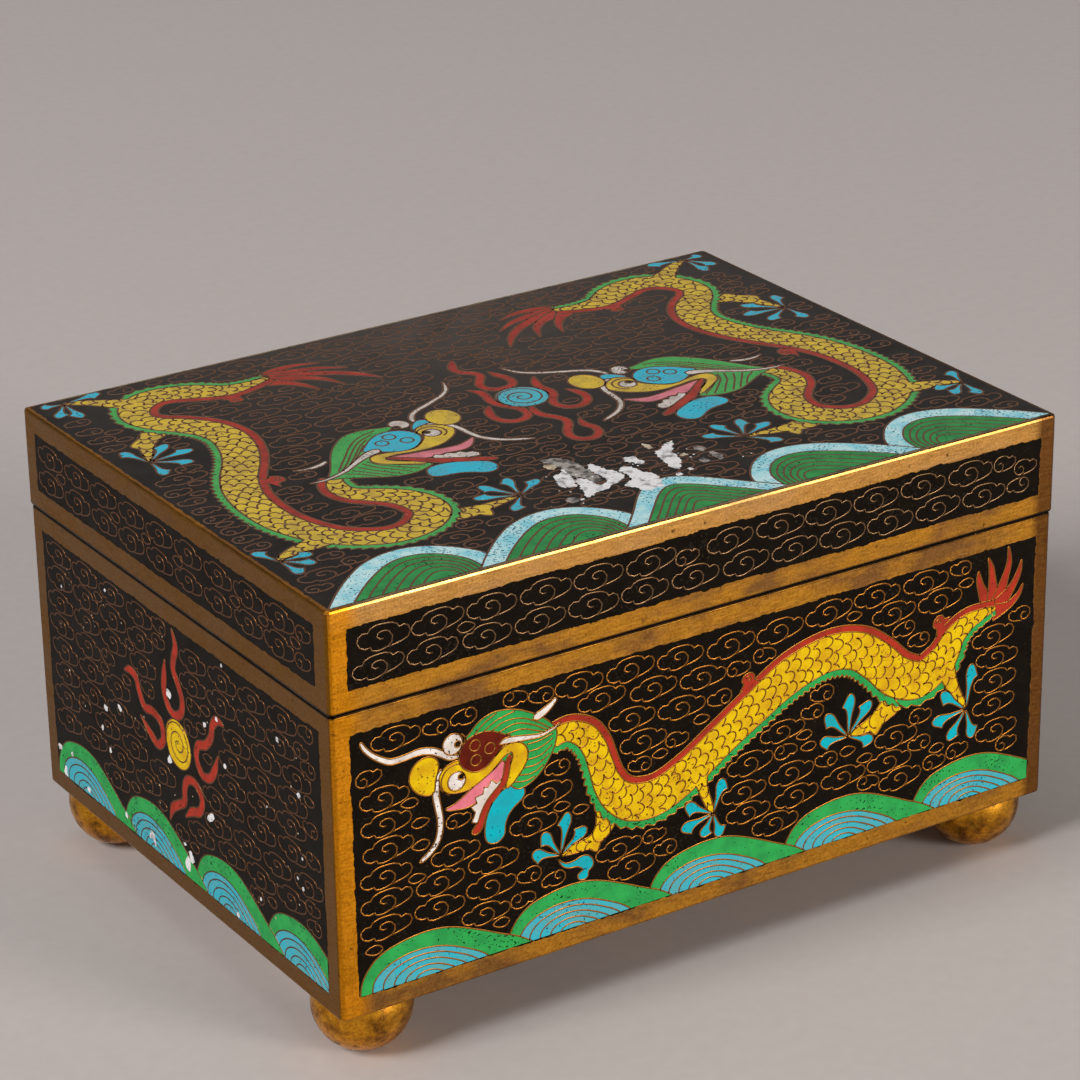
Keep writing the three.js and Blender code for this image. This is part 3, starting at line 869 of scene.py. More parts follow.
def wallPlane(origin, out):
    # Right, up and outward of a panel as columns, with its lower left corner
    out = Vector(out)
    up = Vector((0, 1, 0)) if out.z else Vector((0, 0, 1))
    right = up.cross(out)
    plane = Matrix((right, up, out)).transposed().to_4x4()
    plane.translation = Vector(origin)
    return plane @ Matrix.Scale(mm, 4)


def rectangleOf(box):
    low, high = box
    return np.array([low, (high[0], low[1]), high, (low[0], high[1])], float)


def inlayPiece(name, drawing, plane, depth):
    # One slab whose face is divided into the cells, so that nothing stands proud
    cells = [(rectangleOf(drawing["box"]), drawing["ground"])] + drawing["cells"]
    names = sorted({n for _, n in cells}, key=lambda n: (n != drawing["ground"], n))
    points, faces = [], []
    for polygon, _ in cells:
        x, y = polygon[:, 0], polygon[:, 1]
        area = float(np.dot(x, np.roll(y, -1)) - np.dot(y, np.roll(x, -1)))
        faces.append(list(range(len(points), len(points) + len(polygon))))
        points += [Vector(p) for p in (polygon if area > 0 else polygon[::-1])]
    found = delaunay_2d_cdt(points, [], faces, 1, 1e-3)
    bm = bmesh.new()
    corners = [bm.verts.new((v.x, v.y, 0)) for v in found[0]]
    for loop, owners in zip(found[2], found[5]):
        if 0 in owners:
            face = bm.faces.new([corners[i] for i in loop])
            face.material_index = names.index(cells[max(owners)][1])
    bmesh.ops.delete(bm, geom=[v for v in bm.verts if not v.link_faces], context="VERTS")
    rim = [e for e in bm.edges if e.is_boundary]
    grown = bmesh.ops.extrude_edge_only(bm, edges=rim)["geom"]
    sunk = [g for g in grown if isinstance(g, bmesh.types.BMVert)]
    bmesh.ops.translate(bm, verts=sunk, vec=(0, 0, -depth))
    backRim = [g for g in grown if isinstance(g, bmesh.types.BMEdge) and g.is_boundary]
    bmesh.ops.contextual_create(bm, geom=backRim)
    bmesh.ops.recalc_face_normals(bm, faces=bm.faces)
    mesh = meshFrom(bm, name)
    mesh.transform(plane)
    return meshPiece(name, mesh, [finishes[n] for n in names])


# Enamel that ran over the brass round a panel and was never quite ground off
spill = {"step": 0.35, "first": 0.1, "least": 0.01, "most": 0.42, "kept": 0.75, "change": (0.02, 0.07),
         "proud": 0.006, "deep": 0.02}


def spillPiece(name, box, plane, finish, rng):
    low, high = box
    corners = rectangleOf(box)
    rim = []
    for start, end in zip(corners, np.roll(corners, -1, 0)):
        count = round(float(np.hypot(*(end - start))) / spill["step"])
        rim += [start + (end - start) * i / count for i in range(count)]
    bm = bmesh.new()
    inner = [bm.verts.new((x, y, spill["proud"])) for x, y in rim]
    edges = [bm.edges.new(pair) for pair in zip(inner, inner[1:] + inner[:1])]
    grown = bmesh.ops.extrude_edge_only(bm, edges=edges)["geom"]
    reach = spill["first"]
    middle = Vector(((low[0] + high[0]) / 2, (low[1] + high[1]) / 2, 0))
    size = Vector(((high[0] - low[0]) / 2, (high[1] - low[1]) / 2, 1))
    for vert in grown:
        if isinstance(vert, bmesh.types.BMVert):
            reach = reach * spill["kept"] + rng.gauss(*spill["change"])
            reach = min(max(reach, spill["least"]), spill["most"])
            away = vert.co - middle
            side = Vector((abs(away.x) > size.x - 0.01, abs(away.y) > size.y - 0.01, 0))
            vert.co += Vector((math.copysign(side.x, away.x), math.copysign(side.y, away.y), 0)) * reach
    bmesh.ops.recalc_face_normals(bm, faces=bm.faces)
    bmesh.ops.solidify(bm, geom=bm.faces, thickness=spill["deep"])
    bmesh.ops.recalc_face_normals(bm, faces=bm.faces)
    mesh = meshFrom(bm, name)
    mesh.transform(plane)
    return meshPiece(name, mesh, [finish])


wireSize = {"proud": 0.012, "sunk": 0.15}


def wirePiece(name, drawing, plane, wireName):
    # Strips standing on edge in the enamel, ground off a hair above it
    curve = bpy.data.curves.new(name, "CURVE")
    curve.dimensions = "2D"
    curve.fill_mode = "NONE"
    curve.extrude = (wireSize["proud"] + wireSize["sunk"]) / 2
    for line in drawing["wires"]:
        for run in cutLine(line, rectangleOf(drawing["box"]), True):
            spline = curve.splines.new("POLY")
            spline.points.add(len(run) - 1)
            flat = np.zeros((len(run), 4))
            flat[:, :2] = run
            flat[:, 3] = 1
            spline.points.foreach_set("co", flat.ravel())
    strip = bpy.data.objects.new(name + "Strip", curve)
    bpy.context.scene.collection.objects.link(strip)
    thicken = strip.modifiers.new("Solidify", "SOLIDIFY")
    thicken.thickness = wireLooks[wireName]["thick"]
    thicken.offset = 0
    bpy.context.view_layer.update()
    seen = strip.evaluated_get(bpy.context.evaluated_depsgraph_get())
    mesh = bpy.data.meshes.new_from_object(seen)
    bpy.data.objects.remove(strip)
    mesh.name = name
    mesh.transform(Matrix.Translation((0, 0, (wireSize["proud"] - wireSize["sunk"]) / 2)))
    mesh.transform(plane)
    return meshPiece(name, mesh, [finishes[wireName]])


def frontPicture(drawing):
    spine = [(33.6, 33.6, 2.0), (35.8, 34.1, 2.5), (38.3, 34.4, 2.6), (40.9, 33.0, 2.9), (42.5, 30.6, 3.0),
             (43.5, 27.6, 3.1), (44.5, 24.6, 3.3), (46.3, 21.9, 3.6), (49.3, 20.1, 4.0), (53.5, 19.9, 4.1),
             (58.8, 22.1, 4.0), (64.5, 25.7, 3.9), (70.5, 29.3, 4.0), (76.7, 32.7, 4.2), (83.2, 34.3, 4.05),
             (88.5, 33.5, 4.0), (92.4, 30.8, 4.1), (96.2, 27.2, 4.2), (100.6, 25.6, 4.1),
             (104.6, 27.6, 3.9),
             (107.0, 30.9, 3.2), (109.4, 32.6, 2.6), (112.2, 33.3, 2.0), (114.6, 33.7, 1.4)]
    for prong in (
            [(113.6, 33.8, 1.5), (111.9, 37.3, 0.7), (111.3, 39.2, 0.45), (111.2, 40.5, 0.1)],
            [(114.2, 33.8, 1.5), (113.9, 38.0, 0.7), (113.6, 40.5, 0.45), (113.0, 42.2, 0.1)],
            [(114.6, 33.6, 1.5), (116.2, 38.0, 0.68), (117.0, 40.6, 0.45), (116.8, 43.2, 0.1)],
            [(114.6, 33.4, 1.5), (117.6, 36.3, 0.68), (118.9, 38.5, 0.45), (119.4, 40.4, 0.1)],
            [(114.0, 33.0, 1.4), (117.0, 33.5, 0.68), (118.9, 34.8, 0.42), (119.8, 36.4, 0.1)]):
        addCell(drawing, bandLine(prong), "redEnamel")
    skin = "yellowEnamel"
    drawLimb(drawing, stay, None, [(45.0, 20.6, 2.4), (44.0, 17.8, 1.6), (42.4, 16.2, 1.15),
                                   (40.4, 15.8, 0.85),
                                   (38.4, 15.7, 0.7), (36.9, 15.6, 0.45)], skin,
             [(43.4, 16.6), (42.8, 14.2), (41.2, 15.6)])
    drawLimb(drawing, stay, None, [(96.0, 23.6, 2.2), (93.2, 21.6, 1.5), (90.8, 20.6, 1.0),
                                   (88.6, 20.2, 0.7),
                                   (87.5, 20.1, 0.4)], skin, [(94.4, 22.0), (92.6, 18.8), (91.2, 20.8)])
    core = drawBody(drawing, spine, 1, skin, (1.05, 1.15))
    drawKnob(drawing, stay, 69.4, 33.2, 14)
    drawKnob(drawing, stay, 104.6, 33.4, 44)
    drawLimb(drawing, stay, core, [(60.6, 22.0, 1.8), (61.0, 19.6, 0.95), (61.7, 17.4, 0.72),
                                   (62.5, 15.4, 0.55),
                                   (62.9, 14.4, 0.35)], skin)
    drawLimb(drawing, stay, core, [(105.4, 26.6, 1.7), (106.4, 23.8, 1.2), (107.6, 21.4, 0.85),
                                   (108.9, 19.4, 0.6), (109.4, 18.6, 0.35)], skin)
    for wrist, tips in (
            ((36.6, 15.4), ((32.0, 16.8, -1), (33.7, 19.5, -1), (37.8, 21.6, -1), (40.8, 18.5, -1))),
            ((63.0, 14.3), ((58.3, 16.8, -1), (57.6, 13.2, -1), (61.2, 11.1, -1), (64.3, 10.4, -1),
                            (64.7, 19.3, 1))),
            ((87.4, 19.9), ((82.4, 20.2, -1), (83.3, 24.3, -1), (87.7, 26.5, -1), (91.3, 24.5, -1),
                            (91.8, 18.1, 1))),
            ((109.5, 18.3), ((110.5, 25.3, 1), (104.9, 22.0, -1), (103.4, 17.6, -1), (106.4, 14.1, -1),
                             (110.9, 13.4, -1)))):
        drawClaw(drawing, stay, wrist, tips)
    addCell(drawing, smoothLine([(36.2, 14.8), (37.3, 13.9), (38.7, 13.8), (40.2, 14.2), (41.4, 13.9),
                                 (42.1, 12.9),
                                 (42.0, 12.0), (41.3, 11.5), (41.2, 10.7), (40.5, 10.3), (39.6, 10.6),
                                 (39.5, 11.4), (40.3, 12.0), (39.4, 12.7), (38.0, 12.9), (36.9, 13.5)],
                                True, 0.3), "cyanEnamel")
    wallHead(drawing, stay)
    for x in (110.6, 86.8, 62.6, 38.6, 14.4):
        drawWave(drawing, wallWave, x)


def pearlPicture(drawing):
    drawPearl(drawing, 45.2, 24.5, 3.9, "yellowEnamel", [
        [(42.3, 37.0), (41.9, 34.4), (41.6, 31.7), (42.9, 29.5), (44.9, 29.0), (46.8, 30.3), (47.2, 32.5),
         (46.0, 34.7), (44.9, 36.5), (45.3, 38.5), (46.0, 40.5), (45.0, 43.0)],
        [(33.4, 24.6), (36.2, 22.9), (38.6, 21.8), (40.5, 23.4), (40.0, 25.9), (37.5, 26.8), (35.0, 26.5),
         (33.6, 28.2), (32.6, 30.4), (30.8, 30.9), (28.8, 30.2)],
        [(57.5, 27.6), (56.4, 25.0), (54.6, 22.9), (52.2, 22.6), (50.8, 24.7), (51.5, 26.9), (53.8, 27.9),
         (55.6, 29.8), (56.3, 32.0), (57.8, 33.4), (59.8, 33.2)],
        [(46.3, 13.2), (48.5, 14.9), (51.0, 16.0), (51.9, 18.3), (50.0, 20.1), (47.6, 19.7), (46.5, 17.9),
         (46.2, 15.6), (44.3, 14.3), (42.4, 13.0), (41.2, 10.6)],
    ], 0.72)
    for x in (80.2, 59.0, 36.4, 14.0):
        drawWave(drawing, wallWave, x, 0.92, 1.1)


def wavePicture(count):
    def draw(drawing):
        low, high = drawing["box"]
        for i in reversed(range(count)):
            drawWave(drawing, wallWave, low[0] + (i + 0.45) * (high[0] - low[0]) / count, 0.97)

    return draw


def lidDragon(drawing, move, backSide):
    spine = [(24.6, 40.0, 2.2), (23.4, 37.6, 2.7), (23.1, 35.0, 3.0), (24.2, 32.8, 3.3), (26.4, 30.9, 3.6),
             (28.7, 28.5, 3.9), (30.0, 25.3, 4.1), (29.8, 21.8, 4.0), (27.4, 18.9, 3.8), (24.2, 17.3, 3.6),
             (20.4, 17.2, 3.6), (16.6, 19.0, 3.7), (13.6, 21.8, 3.8), (11.6, 25.6, 3.95), (10.3, 30.4, 4.0),
             (10.1, 35.4, 4.0), (10.6, 40.2, 4.0), (11.7, 44.2, 4.05), (13.6, 48.2, 4.0), (16.0, 52.0, 4.0),
             (17.9, 55.6, 4.05), (19.2, 59.4, 4.1), (19.7, 63.0, 4.1), (18.9, 66.8, 4.1), (16.6, 70.2, 4.0),
             (13.6, 73.2, 3.6), (12.2, 76.6, 3.5), (13.4, 80.4, 3.7), (16.6, 83.0, 3.8), (20.2, 83.3, 3.9),
             (24.0, 81.9, 4.0), (28.2, 79.6, 3.4), (32.4, 79.6, 2.5), (36.4, 80.6, 1.8)]
    for prong in (
            [(36.4, 80.8, 1.9), (39.0, 82.6, 1.0), (42.4, 82.8, 0.6), (46.0, 81.6, 0.12)],
            [(36.4, 80.6, 1.9), (41.0, 80.6, 0.95), (45.0, 79.6, 0.6), (48.6, 77.4, 0.12)],
            [(36.4, 79.8, 1.9), (41.0, 79.0, 1.0), (45.4, 76.8, 0.8), (48.6, 74.0, 0.65),
             (51.0, 70.6, 0.12)],
            [(36.0, 79.2, 1.7), (40.0, 77.8, 0.9), (43.0, 75.4, 0.65), (44.8, 71.6, 0.12)],
            [(35.4, 78.8, 1.5), (37.6, 77.0, 0.85), (39.4, 74.6, 0.6), (40.6, 71.4, 0.12)]):
        addCell(drawing, bandLine(move(prong)), "redEnamel")
    skin = "lidYellowEnamel"
    drawLimb(drawing, move, None, [(13.4, 71.6, 2.4), (9.8, 68.8, 1.7), (7.9, 66.0, 1.15),
                                   (6.7, 63.2, 0.75),
                                   (5.9, 60.8, 0.5)], skin, [(8.6, 69.4), (6.0, 67.4), (7.4, 65.6)])
    drawLimb(drawing, move, None, [(29.0, 19.8, 2.4), (33.2, 18.4, 1.9), (36.2, 18.5, 1.25),
                                   (39.2, 18.8, 0.8),
                                   (42.4, 19.3, 0.4)], skin, [(34.2, 17.6), (35.9, 15.4), (36.8, 18.2)])
    core = drawBody(drawing, move(spine), backSide, skin, (1.3, 1.2))
    drawKnob(drawing, move, 27.9, 76.2, 180)
    drawKnob(drawing, move, 16.2, 43.8, -70, 1.25)
    drawLimb(drawing, move, core, [(14.6, 82.2, 2.2), (11.8, 84.6, 1.6), (9.6, 86.4, 1.1), (7.2, 88.0, 0.8),
                                   (5.8, 88.6, 0.4)], skin)
    drawLimb(drawing, move, core, [(12.6, 21.8, 2.4), (9.6, 20.9, 1.7), (7.0, 20.4, 1.2), (4.8, 19.5, 0.8),
                                   (3.4, 18.7, 0.4)], skin)
    for wrist, tips in (
            ((5.6, 88.4), ((2.6, 83.9, -1), (5.5, 82.2, 1), (12.0, 89.6, 1), (2.2, 88.9, 1))),
            ((5.6, 60.4), ((3.8, 66.0, -1), (10.6, 65.2, -1), (12.8, 61.4, -1), (10.8, 57.2, 1),
                           (5.3, 55.0, -1))),
            ((3.4, 18.3), ((1.9, 23.0, 1), (8.3, 18.4, -1), (7.2, 15.3, -1), (3.9, 13.2, -1))),
            ((43.0, 19.3), ((37.0, 21.9, 1), (39.8, 25.2, -1), (44.5, 25.6, -1), (48.0, 22.8, -1),
                            (39.4, 15.1, -1)))):
        drawClaw(drawing, move, wrist, tips)
    lidHead(drawing, move)


def lidPicture(drawing):
    middle = 62.5
    drawPearl(drawing, 63.9, 51.5, 4.1, "turquoiseEnamel", [
        [(63.4, 70.8), (62.2, 68.8), (61.4, 67.0), (61.8, 65.4), (63.0, 64.2), (63.4, 62.6), (62.2, 60.8),
         (61.2, 59.2), (61.3, 57.4), (62.6, 56.3), (64.6, 56.2), (66.0, 57.4), (66.3, 59.4), (65.7, 61.4),
         (65.3, 63.4)],
        [(57.8, 51.2), (56.6, 49.4), (55.9, 47.4), (56.1, 45.2), (57.4, 43.9), (59.2, 43.7), (60.8, 45.0),
         (61.1, 47.0), (60.4, 48.8), (59.3, 50.6), (59.0, 52.6), (59.5, 54.8), (59.6, 56.6), (58.4, 58.6)],
        [(71.0, 50.6), (71.9, 48.6), (72.0, 46.4), (70.9, 44.4), (69.0, 43.5), (67.2, 44.2), (66.4, 46.0),
         (67.0, 47.9), (68.3, 49.6), (68.8, 51.4), (68.4, 53.4), (68.8, 55.4), (70.0, 57.8)],
        [(63.2, 48.0), (62.3, 45.8), (62.4, 43.6), (63.5, 41.7), (64.1, 39.8), (63.3, 37.9), (61.9, 36.0),
         (61.2, 34.0), (61.9, 32.2), (63.8, 31.7), (65.5, 33.0), (66.0, 35.0), (65.5, 37.0), (66.2, 39.4)],
    ], 0.7)
    for flip in (False, True):
        lidDragon(drawing, placed(1, 0, flip, (middle, 0), (middle, 0)), 1 if flip else -1)
    for x, flip in ((18.3, False), (107.0, True), (42.2, False), (83.0, True)):
        drawWave(drawing, lidWave, x, flip=flip)
    drawWave(drawing, lidMiddleWave, middle)


def raggedLine(points, rng, rough=0.22):
    # A torn outline: a smooth one whose points are pushed in and out at random
    line = smoothLine(points, True, 0.35)
    push = np.array([rng.uniform(-rough, rough) for _ in line])
    return line + sideways(line) * push[:, None]


# Where the lid's enamel was lost and smeared over again: finish, then the outline of each patch
plasterPatches = [
    ("dirtyPlaster", [(52.2, 28.4), (54.4, 28.2), (56.0, 25.4), (56.0, 22.6), (56.0, 19.0), (55.3, 17.4),
                      (54.2, 17.2), (53.9, 19.4), (53.0, 20.6), (52.8, 22.6), (53.2, 24.6), (52.5, 26.5)]),
    ("dirtyPlaster", [(47.0, 13.4), (47.8, 14.4), (48.8, 14.0), (48.6, 12.9), (47.6, 12.6)]),
    ("dirtyPlaster", [(73.0, 19.2), (73.6, 20.4), (74.6, 20.2), (74.6, 18.8), (73.8, 18.2)]),
    ("dirtyPlaster", [(73.8, 14.4), (74.0, 16.6), (74.8, 17.4), (75.1, 15.6), (74.6, 14.0)]),
    ("dirtyPlaster", [(71.3, 14.4), (71.5, 16.0), (72.2, 16.0), (72.3, 14.6)]),
    ("creamPlaster", [(51.3, 25.0), (51.4, 26.4), (52.1, 27.0), (52.8, 26.2), (52.7, 25.0), (52.0, 24.5)]),
    ("limePlaster", [(50.4, 22.0), (51.2, 22.6), (52.0, 22.8), (53.2, 23.9), (53.0, 22.6), (52.6, 21.0),
                     (51.9, 18.6), (51.2, 17.4), (50.2, 17.6), (49.6, 18.4), (49.4, 19.6), (49.9, 20.6)]),
    ("limePlaster", [(51.9, 18.8), (52.9, 19.9), (53.8, 19.2), (54.1, 18.0), (54.2, 16.4), (54.8, 15.9),
                     (56.0, 16.9), (56.4, 18.6), (56.2, 20.5), (56.4, 22.5), (57.6, 23.5), (58.0, 22.0),
                     (58.2, 20.3), (59.0, 19.2), (59.2, 17.6), (58.6, 16.4), (57.4, 15.6), (56.0, 15.2),
                     (54.6, 14.4), (53.4, 14.2), (52.4, 13.9), (51.2, 13.3), (50.4, 13.4), (50.6, 14.6),
                     (51.2, 16.4), (51.8, 17.6)]),
    ("limePlaster", [(59.6, 18.8), (60.4, 19.7), (61.4, 19.6), (61.9, 18.4), (61.9, 17.0), (62.4, 16.2),
                     (62.9, 15.2), (62.8, 13.6), (62.2, 12.2), (61.8, 10.8), (61.0, 10.3), (60.0, 10.6),
                     (58.8, 10.4), (58.2, 11.2), (58.2, 12.2), (57.2, 13.2), (57.4, 14.0), (58.6, 14.8),
                     (59.4, 15.8), (59.6, 17.2)]),
    ("limePlaster", [(62.1, 21.2), (62.4, 22.2), (63.4, 22.5), (64.2, 22.2), (64.2, 21.0), (64.5, 20.0),
                     (63.9, 19.2), (63.2, 19.6), (62.8, 20.4)]),
    ("limePlaster", [(68.0, 21.9), (69.2, 22.6), (70.2, 23.3), (71.6, 23.9), (72.4, 24.0), (71.6, 22.7),
                     (70.5, 21.4), (69.9, 20.4), (69.6, 19.2), (69.3, 17.6), (68.4, 16.2), (67.4, 14.8),
                     (66.8, 14.7), (66.1, 15.9), (66.6, 17.2), (67.0, 19.0), (67.2, 20.6)]),
    ("creamPlaster", [(67.7, 23.2), (67.6, 24.6), (68.0, 25.6), (68.5, 24.8), (68.4, 23.4)]),
    ("creamPlaster", [(70.0, 18.2), (70.2, 19.1), (70.9, 19.0), (71.0, 18.2)]),
    ("limePlaster", [(68.0, 13.3), (68.1, 14.0), (68.8, 14.0), (68.8, 13.3)]),
    ("limePlaster", [(65.2, 12.5), (65.3, 13.3), (66.2, 13.4), (66.2, 12.6)]),
    ("limePlaster", [(48.9, 12.7), (49.0, 13.2), (49.6, 13.1), (49.5, 12.6)]),
]


crumbs = {"count": 60, "x": (60, 9), "y": (18, 4), "radius": (0.08, 0.24), "squash": 0.7}


def lidDamage(drawing, rng):
    for finish, patch in plasterPatches:
        addCell(drawing, raggedLine(patch, rng), finish, False)
    low, high = drawing["box"]
    for _ in range(crumbs["count"]):
        x, y = rng.gauss(*crumbs["x"]), rng.gauss(*crumbs["y"])
        radius = rng.uniform(*crumbs["radius"])
        if low[0] + 1 < x < high[0] - 1 and low[1] + 1 < y:
            addCell(drawing, ringLine(x, y, radius, crumbs["squash"], rng.uniform(0, 3), 7),
                    rng.choice(("limePlaster", "dirtyPlaster")), False)


# Specks of plaster on the left side: x, y and radius
wallSpecks = [
    (43.0, 31.8, 0.75), (53.8, 31.2, 0.5), (57.6, 33.5, 0.45), (59.6, 26.9, 0.45), (53.9, 16.2, 0.75),
    (42.2, 20.8, 0.7), (26.6, 22.9, 0.7), (21.8, 21.0, 0.6), (20.2, 17.2, 0.5), (22.4, 14.2, 0.5),
    (75.5, 37.6, 0.5), (81.0, 31.3, 0.5), (71.6, 25.6, 0.3), (81.3, 21.6, 0.3), (79.8, 17.9, 0.3),
    (81.2, 16.8, 0.4), (68.5, 9.6, 0.4), (47.2, 7.6, 0.6), (45.6, 8.4, 0.45), (34.6, 5.0, 0.7),
    (6.2, 4.4, 0.6), (14.0, 4.0, 0.6), (60.0, 42.9, 0.3), (24.0, 41.2, 0.3), (9.0, 36.4, 0.3),
    (35.8, 4.2, 0.5), (46.6, 6.2, 0.6), (46.2, 5.2, 1.0), (35.2, 5.2, 0.9), (26.6, 5.0, 0.6),
    (4.6, 7.6, 0.7),
    (6.0, 3.6, 0.9), (54.6, 16.6, 0.9), (61.4, 3.8, 0.5), (8.8, 8.0, 0.4), (47.6, 6.8, 0.8),
]
tinySpecks = {"count": 45, "radius": (0.08, 0.2), "uneven": 0.25}


def wallDamage(drawing, rng):
    low, high = drawing["box"]
    tiny = [(rng.uniform(low[0] + 4, high[0] - 4), rng.uniform(low[1] + 4, high[1] - 3),
             rng.uniform(*tinySpecks["radius"])) for _ in range(tinySpecks["count"])]
    uneven = tinySpecks["uneven"]
    for x, y, radius in wallSpecks + tiny:
        ring = ringLine(x, y, radius, rng.uniform(0.6, 1), rng.uniform(0, 3), 9)
        ring = ring + np.array([[rng.uniform(-uneven, uneven) * radius for _ in range(2)] for _ in ring])
        finish = "creamPlaster" if radius < tinySpecks["radius"][1] else "limePlaster"
        addCell(drawing, ring, finish, False)


baseLow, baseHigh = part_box("base_shell")
lidLow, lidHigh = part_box("lid_shell")
panels = {
    # name: outward direction, lower left corner of the drawing, ground, wires, figures, seed
    "base_enamel_front": ((0, -1, 0), (lidLow.x, baseLow.y, baseLow.z), "blackEnamel", "brightWire",
                          frontPicture, 11),
    "base_enamel_left": ((-1, 0, 0), (baseLow.x, lidHigh.y, baseLow.z), "blackEnamel", "sideWire",
                         pearlPicture, 12),
    "base_enamel_right": ((1, 0, 0), (baseHigh.x, lidLow.y, baseLow.z), "blackEnamel", "brightWire",
                          wavePicture(4), 13),
    "base_enamel_back": ((0, 1, 0), (lidHigh.x, baseHigh.y, baseLow.z), "blackEnamel", "brightWire",
                         wavePicture(5), 14),
    "lid_enamel_front": ((0, -1, 0), (lidLow.x, lidLow.y, lidLow.z), "blackEnamel", "rubbedWire",
                         None, 15),
    "lid_enamel_left": ((-1, 0, 0), (lidLow.x, lidHigh.y, lidLow.z), "blackEnamel", "sideWire",
                        None, 16),
    "lid_enamel_right": ((1, 0, 0), (lidHigh.x, lidLow.y, lidLow.z), "blackEnamel", "brightWire",
                         None, 17),
    "lid_enamel_back": ((0, 1, 0), (lidHigh.x, lidHigh.y, lidLow.z), "blackEnamel", "brightWire",
                        None, 18),
    "lid_enamel_top": ((0, 0, 1), (lidLow.x, lidLow.y, lidHigh.z), "lidBlackEnamel", "brownedWire",
                       lidPicture, 19),
}
enamelGap = 0.05  # the slabs in the frame stand this far clear of the brass; the inlay fills it

for node, (out, corner, ground, wireName, picture, seed) in panels.items():
    plane = wallPlane(corner, out)
    toPlane = plane.inverted()
    ends = [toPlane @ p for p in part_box(node)]
    low = np.array([min(p[i] for p in ends) - enamelGap for i in (0, 1)])
    high = np.array([max(p[i] for p in ends) + enamelGap for i in (0, 1)])
    depth = max(-p.z for p in ends)
    drawing = newDrawing((low, high), ground)
    if picture:
        picture(drawing)
    if node == "lid_enamel_top":
        worn = {n: "lid" + n[0].upper() + n[1:] for n in enamelLooks}
        drawing["cells"] = [(p, worn[n] if worn[n] in enamelLooks else n) for p, n in drawing["cells"]]
    fillWithClouds(drawing, seed)
    if node == "base_enamel_left":
        wallDamage(drawing, random.Random(5))
    if node == "lid_enamel_top":
        lidDamage(drawing, random.Random(6))
    name = node.replace("_enamel", "")
    inlay = inlayPiece(name + "_inlay", drawing, plane, depth)
    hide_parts(node)
    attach(inlay, "root")
    edging = spillPiece(name + "_edging", drawing["box"], plane, finishes[ground], random.Random(seed))
    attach(edging, "root")
    wires = wirePiece(name + "_wires", drawing, plane, wireName)
    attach(wires, "root")
    print(node, len(drawing["cells"]), "cells", len(drawing["wires"]), "wires",
          len(inlay.data.polygons), len(wires.data.polygons))


sheetCrease = 8  # degrees: the worn edges catch the light and the strips between them stay flat


def shellPiece(node, name):
    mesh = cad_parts[node].data.copy()
    mesh.materials.clear()
    bm = bmesh.new()
    bm.from_mesh(mesh)
    bmesh.ops.remove_doubles(bm, verts=bm.verts, dist=weldDistance)
    bm.to_mesh(mesh)
    bm.free()
    mesh.shade_smooth()
    mesh.set_sharp_from_angle(angle=math.radians(sheetCrease))
    mesh.name = name
    piece = meshPiece(name, mesh, [finishes["giltBrassSheet"]])
    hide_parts(node)
    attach(piece, "root")


shellPiece("base_shell", "base_brass")
shellPiece("lid_shell", "lid_brass")

footShape = {"sides": 64, "steps": 28, "flat": 1.45 * mm, "crease": 35}


def footPiece(node):
    low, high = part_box(node)
    middle = (low + high) / 2
    radius = (high.x - low.x) / 2
    # The ball's middle lies where its widest ring is; it is cut flat above and below
    centre = low.z + math.sqrt(radius ** 2 - footShape["flat"] ** 2)
    start = math.acos((centre - low.z) / radius)
    end = math.pi - math.acos((high.z - centre) / radius)
    bm = bmesh.new()
    profile = [bm.verts.new((0, 0, low.z))]
    for i in range(footShape["steps"] + 1):
        a = start + (end - start) * i / footShape["steps"]
        profile.append(bm.verts.new((radius * math.sin(a), 0, centre - radius * math.cos(a))))
    profile.append(bm.verts.new((0, 0, high.z)))
    edges = [bm.edges.new(pair) for pair in zip(profile, profile[1:])]
    bmesh.ops.spin(bm, geom=profile + edges, cent=(0, 0, 0), axis=(0, 0, 1), angle=2 * math.pi,
                   steps=footShape["sides"], use_merge=True)
    bmesh.ops.remove_doubles(bm, verts=bm.verts, dist=weldDistance)
    bmesh.ops.recalc_face_normals(bm, faces=bm.faces)
    bmesh.ops.translate(bm, verts=bm.verts, vec=(middle.x, middle.y, 0))
    mesh = meshFrom(bm, node)
    mesh.shade_smooth()
    mesh.set_sharp_from_angle(angle=math.radians(footShape["crease"]))
    piece = meshPiece(node + "_ball", mesh, [finishes["giltBrassFoot"]])
    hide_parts(node)
    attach(piece, "root")


for end in ("front", "back"):
    for side in ("left", "right"):
        footPiece(f"foot_{end}_{side}")
print("brass ready")


def studioFloor():
    bm = bmesh.new()
    bmesh.ops.create_grid(bm, x_segments=1, y_segments=1, size=4)
    mesh = meshFrom(bm, "studioFloor")
    # Matte backdrop paper: an even warm grey, a little mottled
    material, tree, place = newMaterial("matteBackdropPaper")
    mottle = addNode(tree, "ShaderNodeTexNoise", {"Scale": 1 / (2.5 * mm), "Detail": 3}, {"Vector": place})
    colour = addNode(tree, "ShaderNodeMix", {"data_type": "RGBA", 6: "#c2bab7", 7: "#b9b1ae"}, {0: mottle})
    shader = addNode(tree, "ShaderNodeBsdfPrincipled", {"Roughness": 0.8, "Specular IOR Level": 0.2},
                     {"Base Color": colour})
    addNode(tree, "ShaderNodeOutputMaterial", links={"Surface": shader})
    floor = meshPiece("studioFloor", mesh, [material])


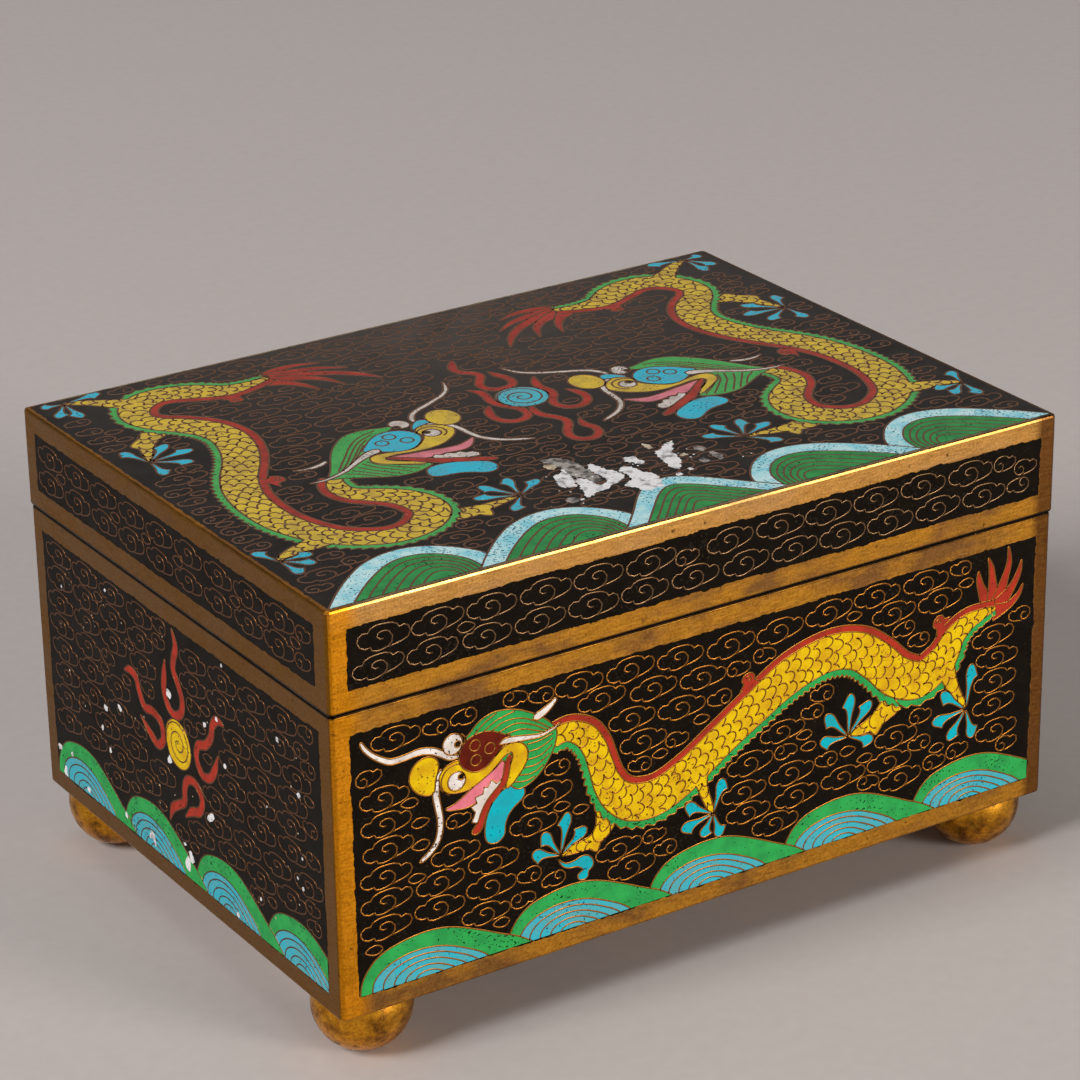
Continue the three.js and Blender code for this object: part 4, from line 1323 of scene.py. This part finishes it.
def areaLight(name, spot, aim, size, power, colour):
    light = bpy.data.lights.new(name, "AREA")
    light.shape = "RECTANGLE"
    light.size, light.size_y = size
    light.energy = power
    light.color = linear(colour)[:3]
    lamp = bpy.data.objects.new(name, light)
    lamp.location = spot
    lamp.rotation_euler = (Vector(aim) - Vector(spot)).to_track_quat("-Z", "Y").to_euler()
    bpy.context.scene.collection.objects.link(lamp)


studio = {
    "left": {"spot": (-1.96, -0.17, 1.54), "aim": (0, 0, 0.03), "size": (0.9, 1.0), "power": 50,
             "colour": "#ffffff"},
    "right": {"spot": (0.98, -2.24, 0.56), "aim": (0, 0, 0.03), "size": (0.8, 1.0), "power": 54,
              "colour": "#fffaf4"},
    "top": {"spot": (-0.2, 0.3, 2.4), "aim": (0, 0, 0.03), "size": (1.4, 1.4), "power": 9,
            "colour": "#ffffff"},
}
studioFloor()
for lampName, lamp in studio.items():
    areaLight(lampName + "Softbox", lamp["spot"], lamp["aim"], lamp["size"], lamp["power"], lamp["colour"])
bpy.context.scene.view_settings.view_transform = "Standard"
# The air of the studio: pale backdrop all round near the floor, a dim ceiling
world = bpy.data.worlds.new("studioAir")
bpy.context.scene.world = world
world.use_nodes = True
air = world.node_tree
look = addNode(air, "ShaderNodeTexCoord").outputs["Generated"]
height = addNode(air, "ShaderNodeSeparateXYZ", links={0: look}).outputs["Z"]
rise = addNode(air, "ShaderNodeMapRange", {"From Min": 0.3, "From Max": 0.66}, {"Value": height})
shade = addNode(air, "ShaderNodeMix", {"data_type": "RGBA", 6: "#8f8a87", 7: "#3c3a39"}, {0: rise})
air.links.new(shade.outputs[2], air.nodes["Background"].inputs["Color"])

# Angles in degrees, lens and sensor in millimetres, the rest in lengths of the lid
view = {"azimuth": -32.566, "elevation": 23.353, "roll": -0.895, "distance": 4.827, "slideX": -0.0023,
        "slideY": 0.3053, "lens": 129.3, "sensor": 36}


def studioCamera():
    az, el, roll = (math.radians(view[k]) for k in ("azimuth", "elevation", "roll"))
    back = Vector((math.sin(az) * math.cos(el), -math.cos(az) * math.cos(el), math.sin(el)))
    right = Vector((0, 0, 1)).cross(back).normalized()
    up = back.cross(right)
    right, up = (right * math.cos(roll) + up * math.sin(roll), up * math.cos(roll) - right * math.sin(roll))
    lidLength = lidHigh.x - lidLow.x
    spot = (back * view["distance"] + right * view["slideX"] + up * view["slideY"]) * lidLength
    camera = bpy.data.objects.new("camera", bpy.data.cameras.new("camera"))
    pose = Matrix((right, up, back)).transposed().to_4x4()
    pose.translation = spot + Vector((0, 0, baseLow.z))
    camera.matrix_world = pose
    camera.data.lens = view["lens"]
    camera.data.sensor_width = view["sensor"]
    camera.data.clip_start = 0.01
    bpy.context.scene.collection.objects.link(camera)
    bpy.context.scene.camera = camera


studioCamera()
print("scene ready")
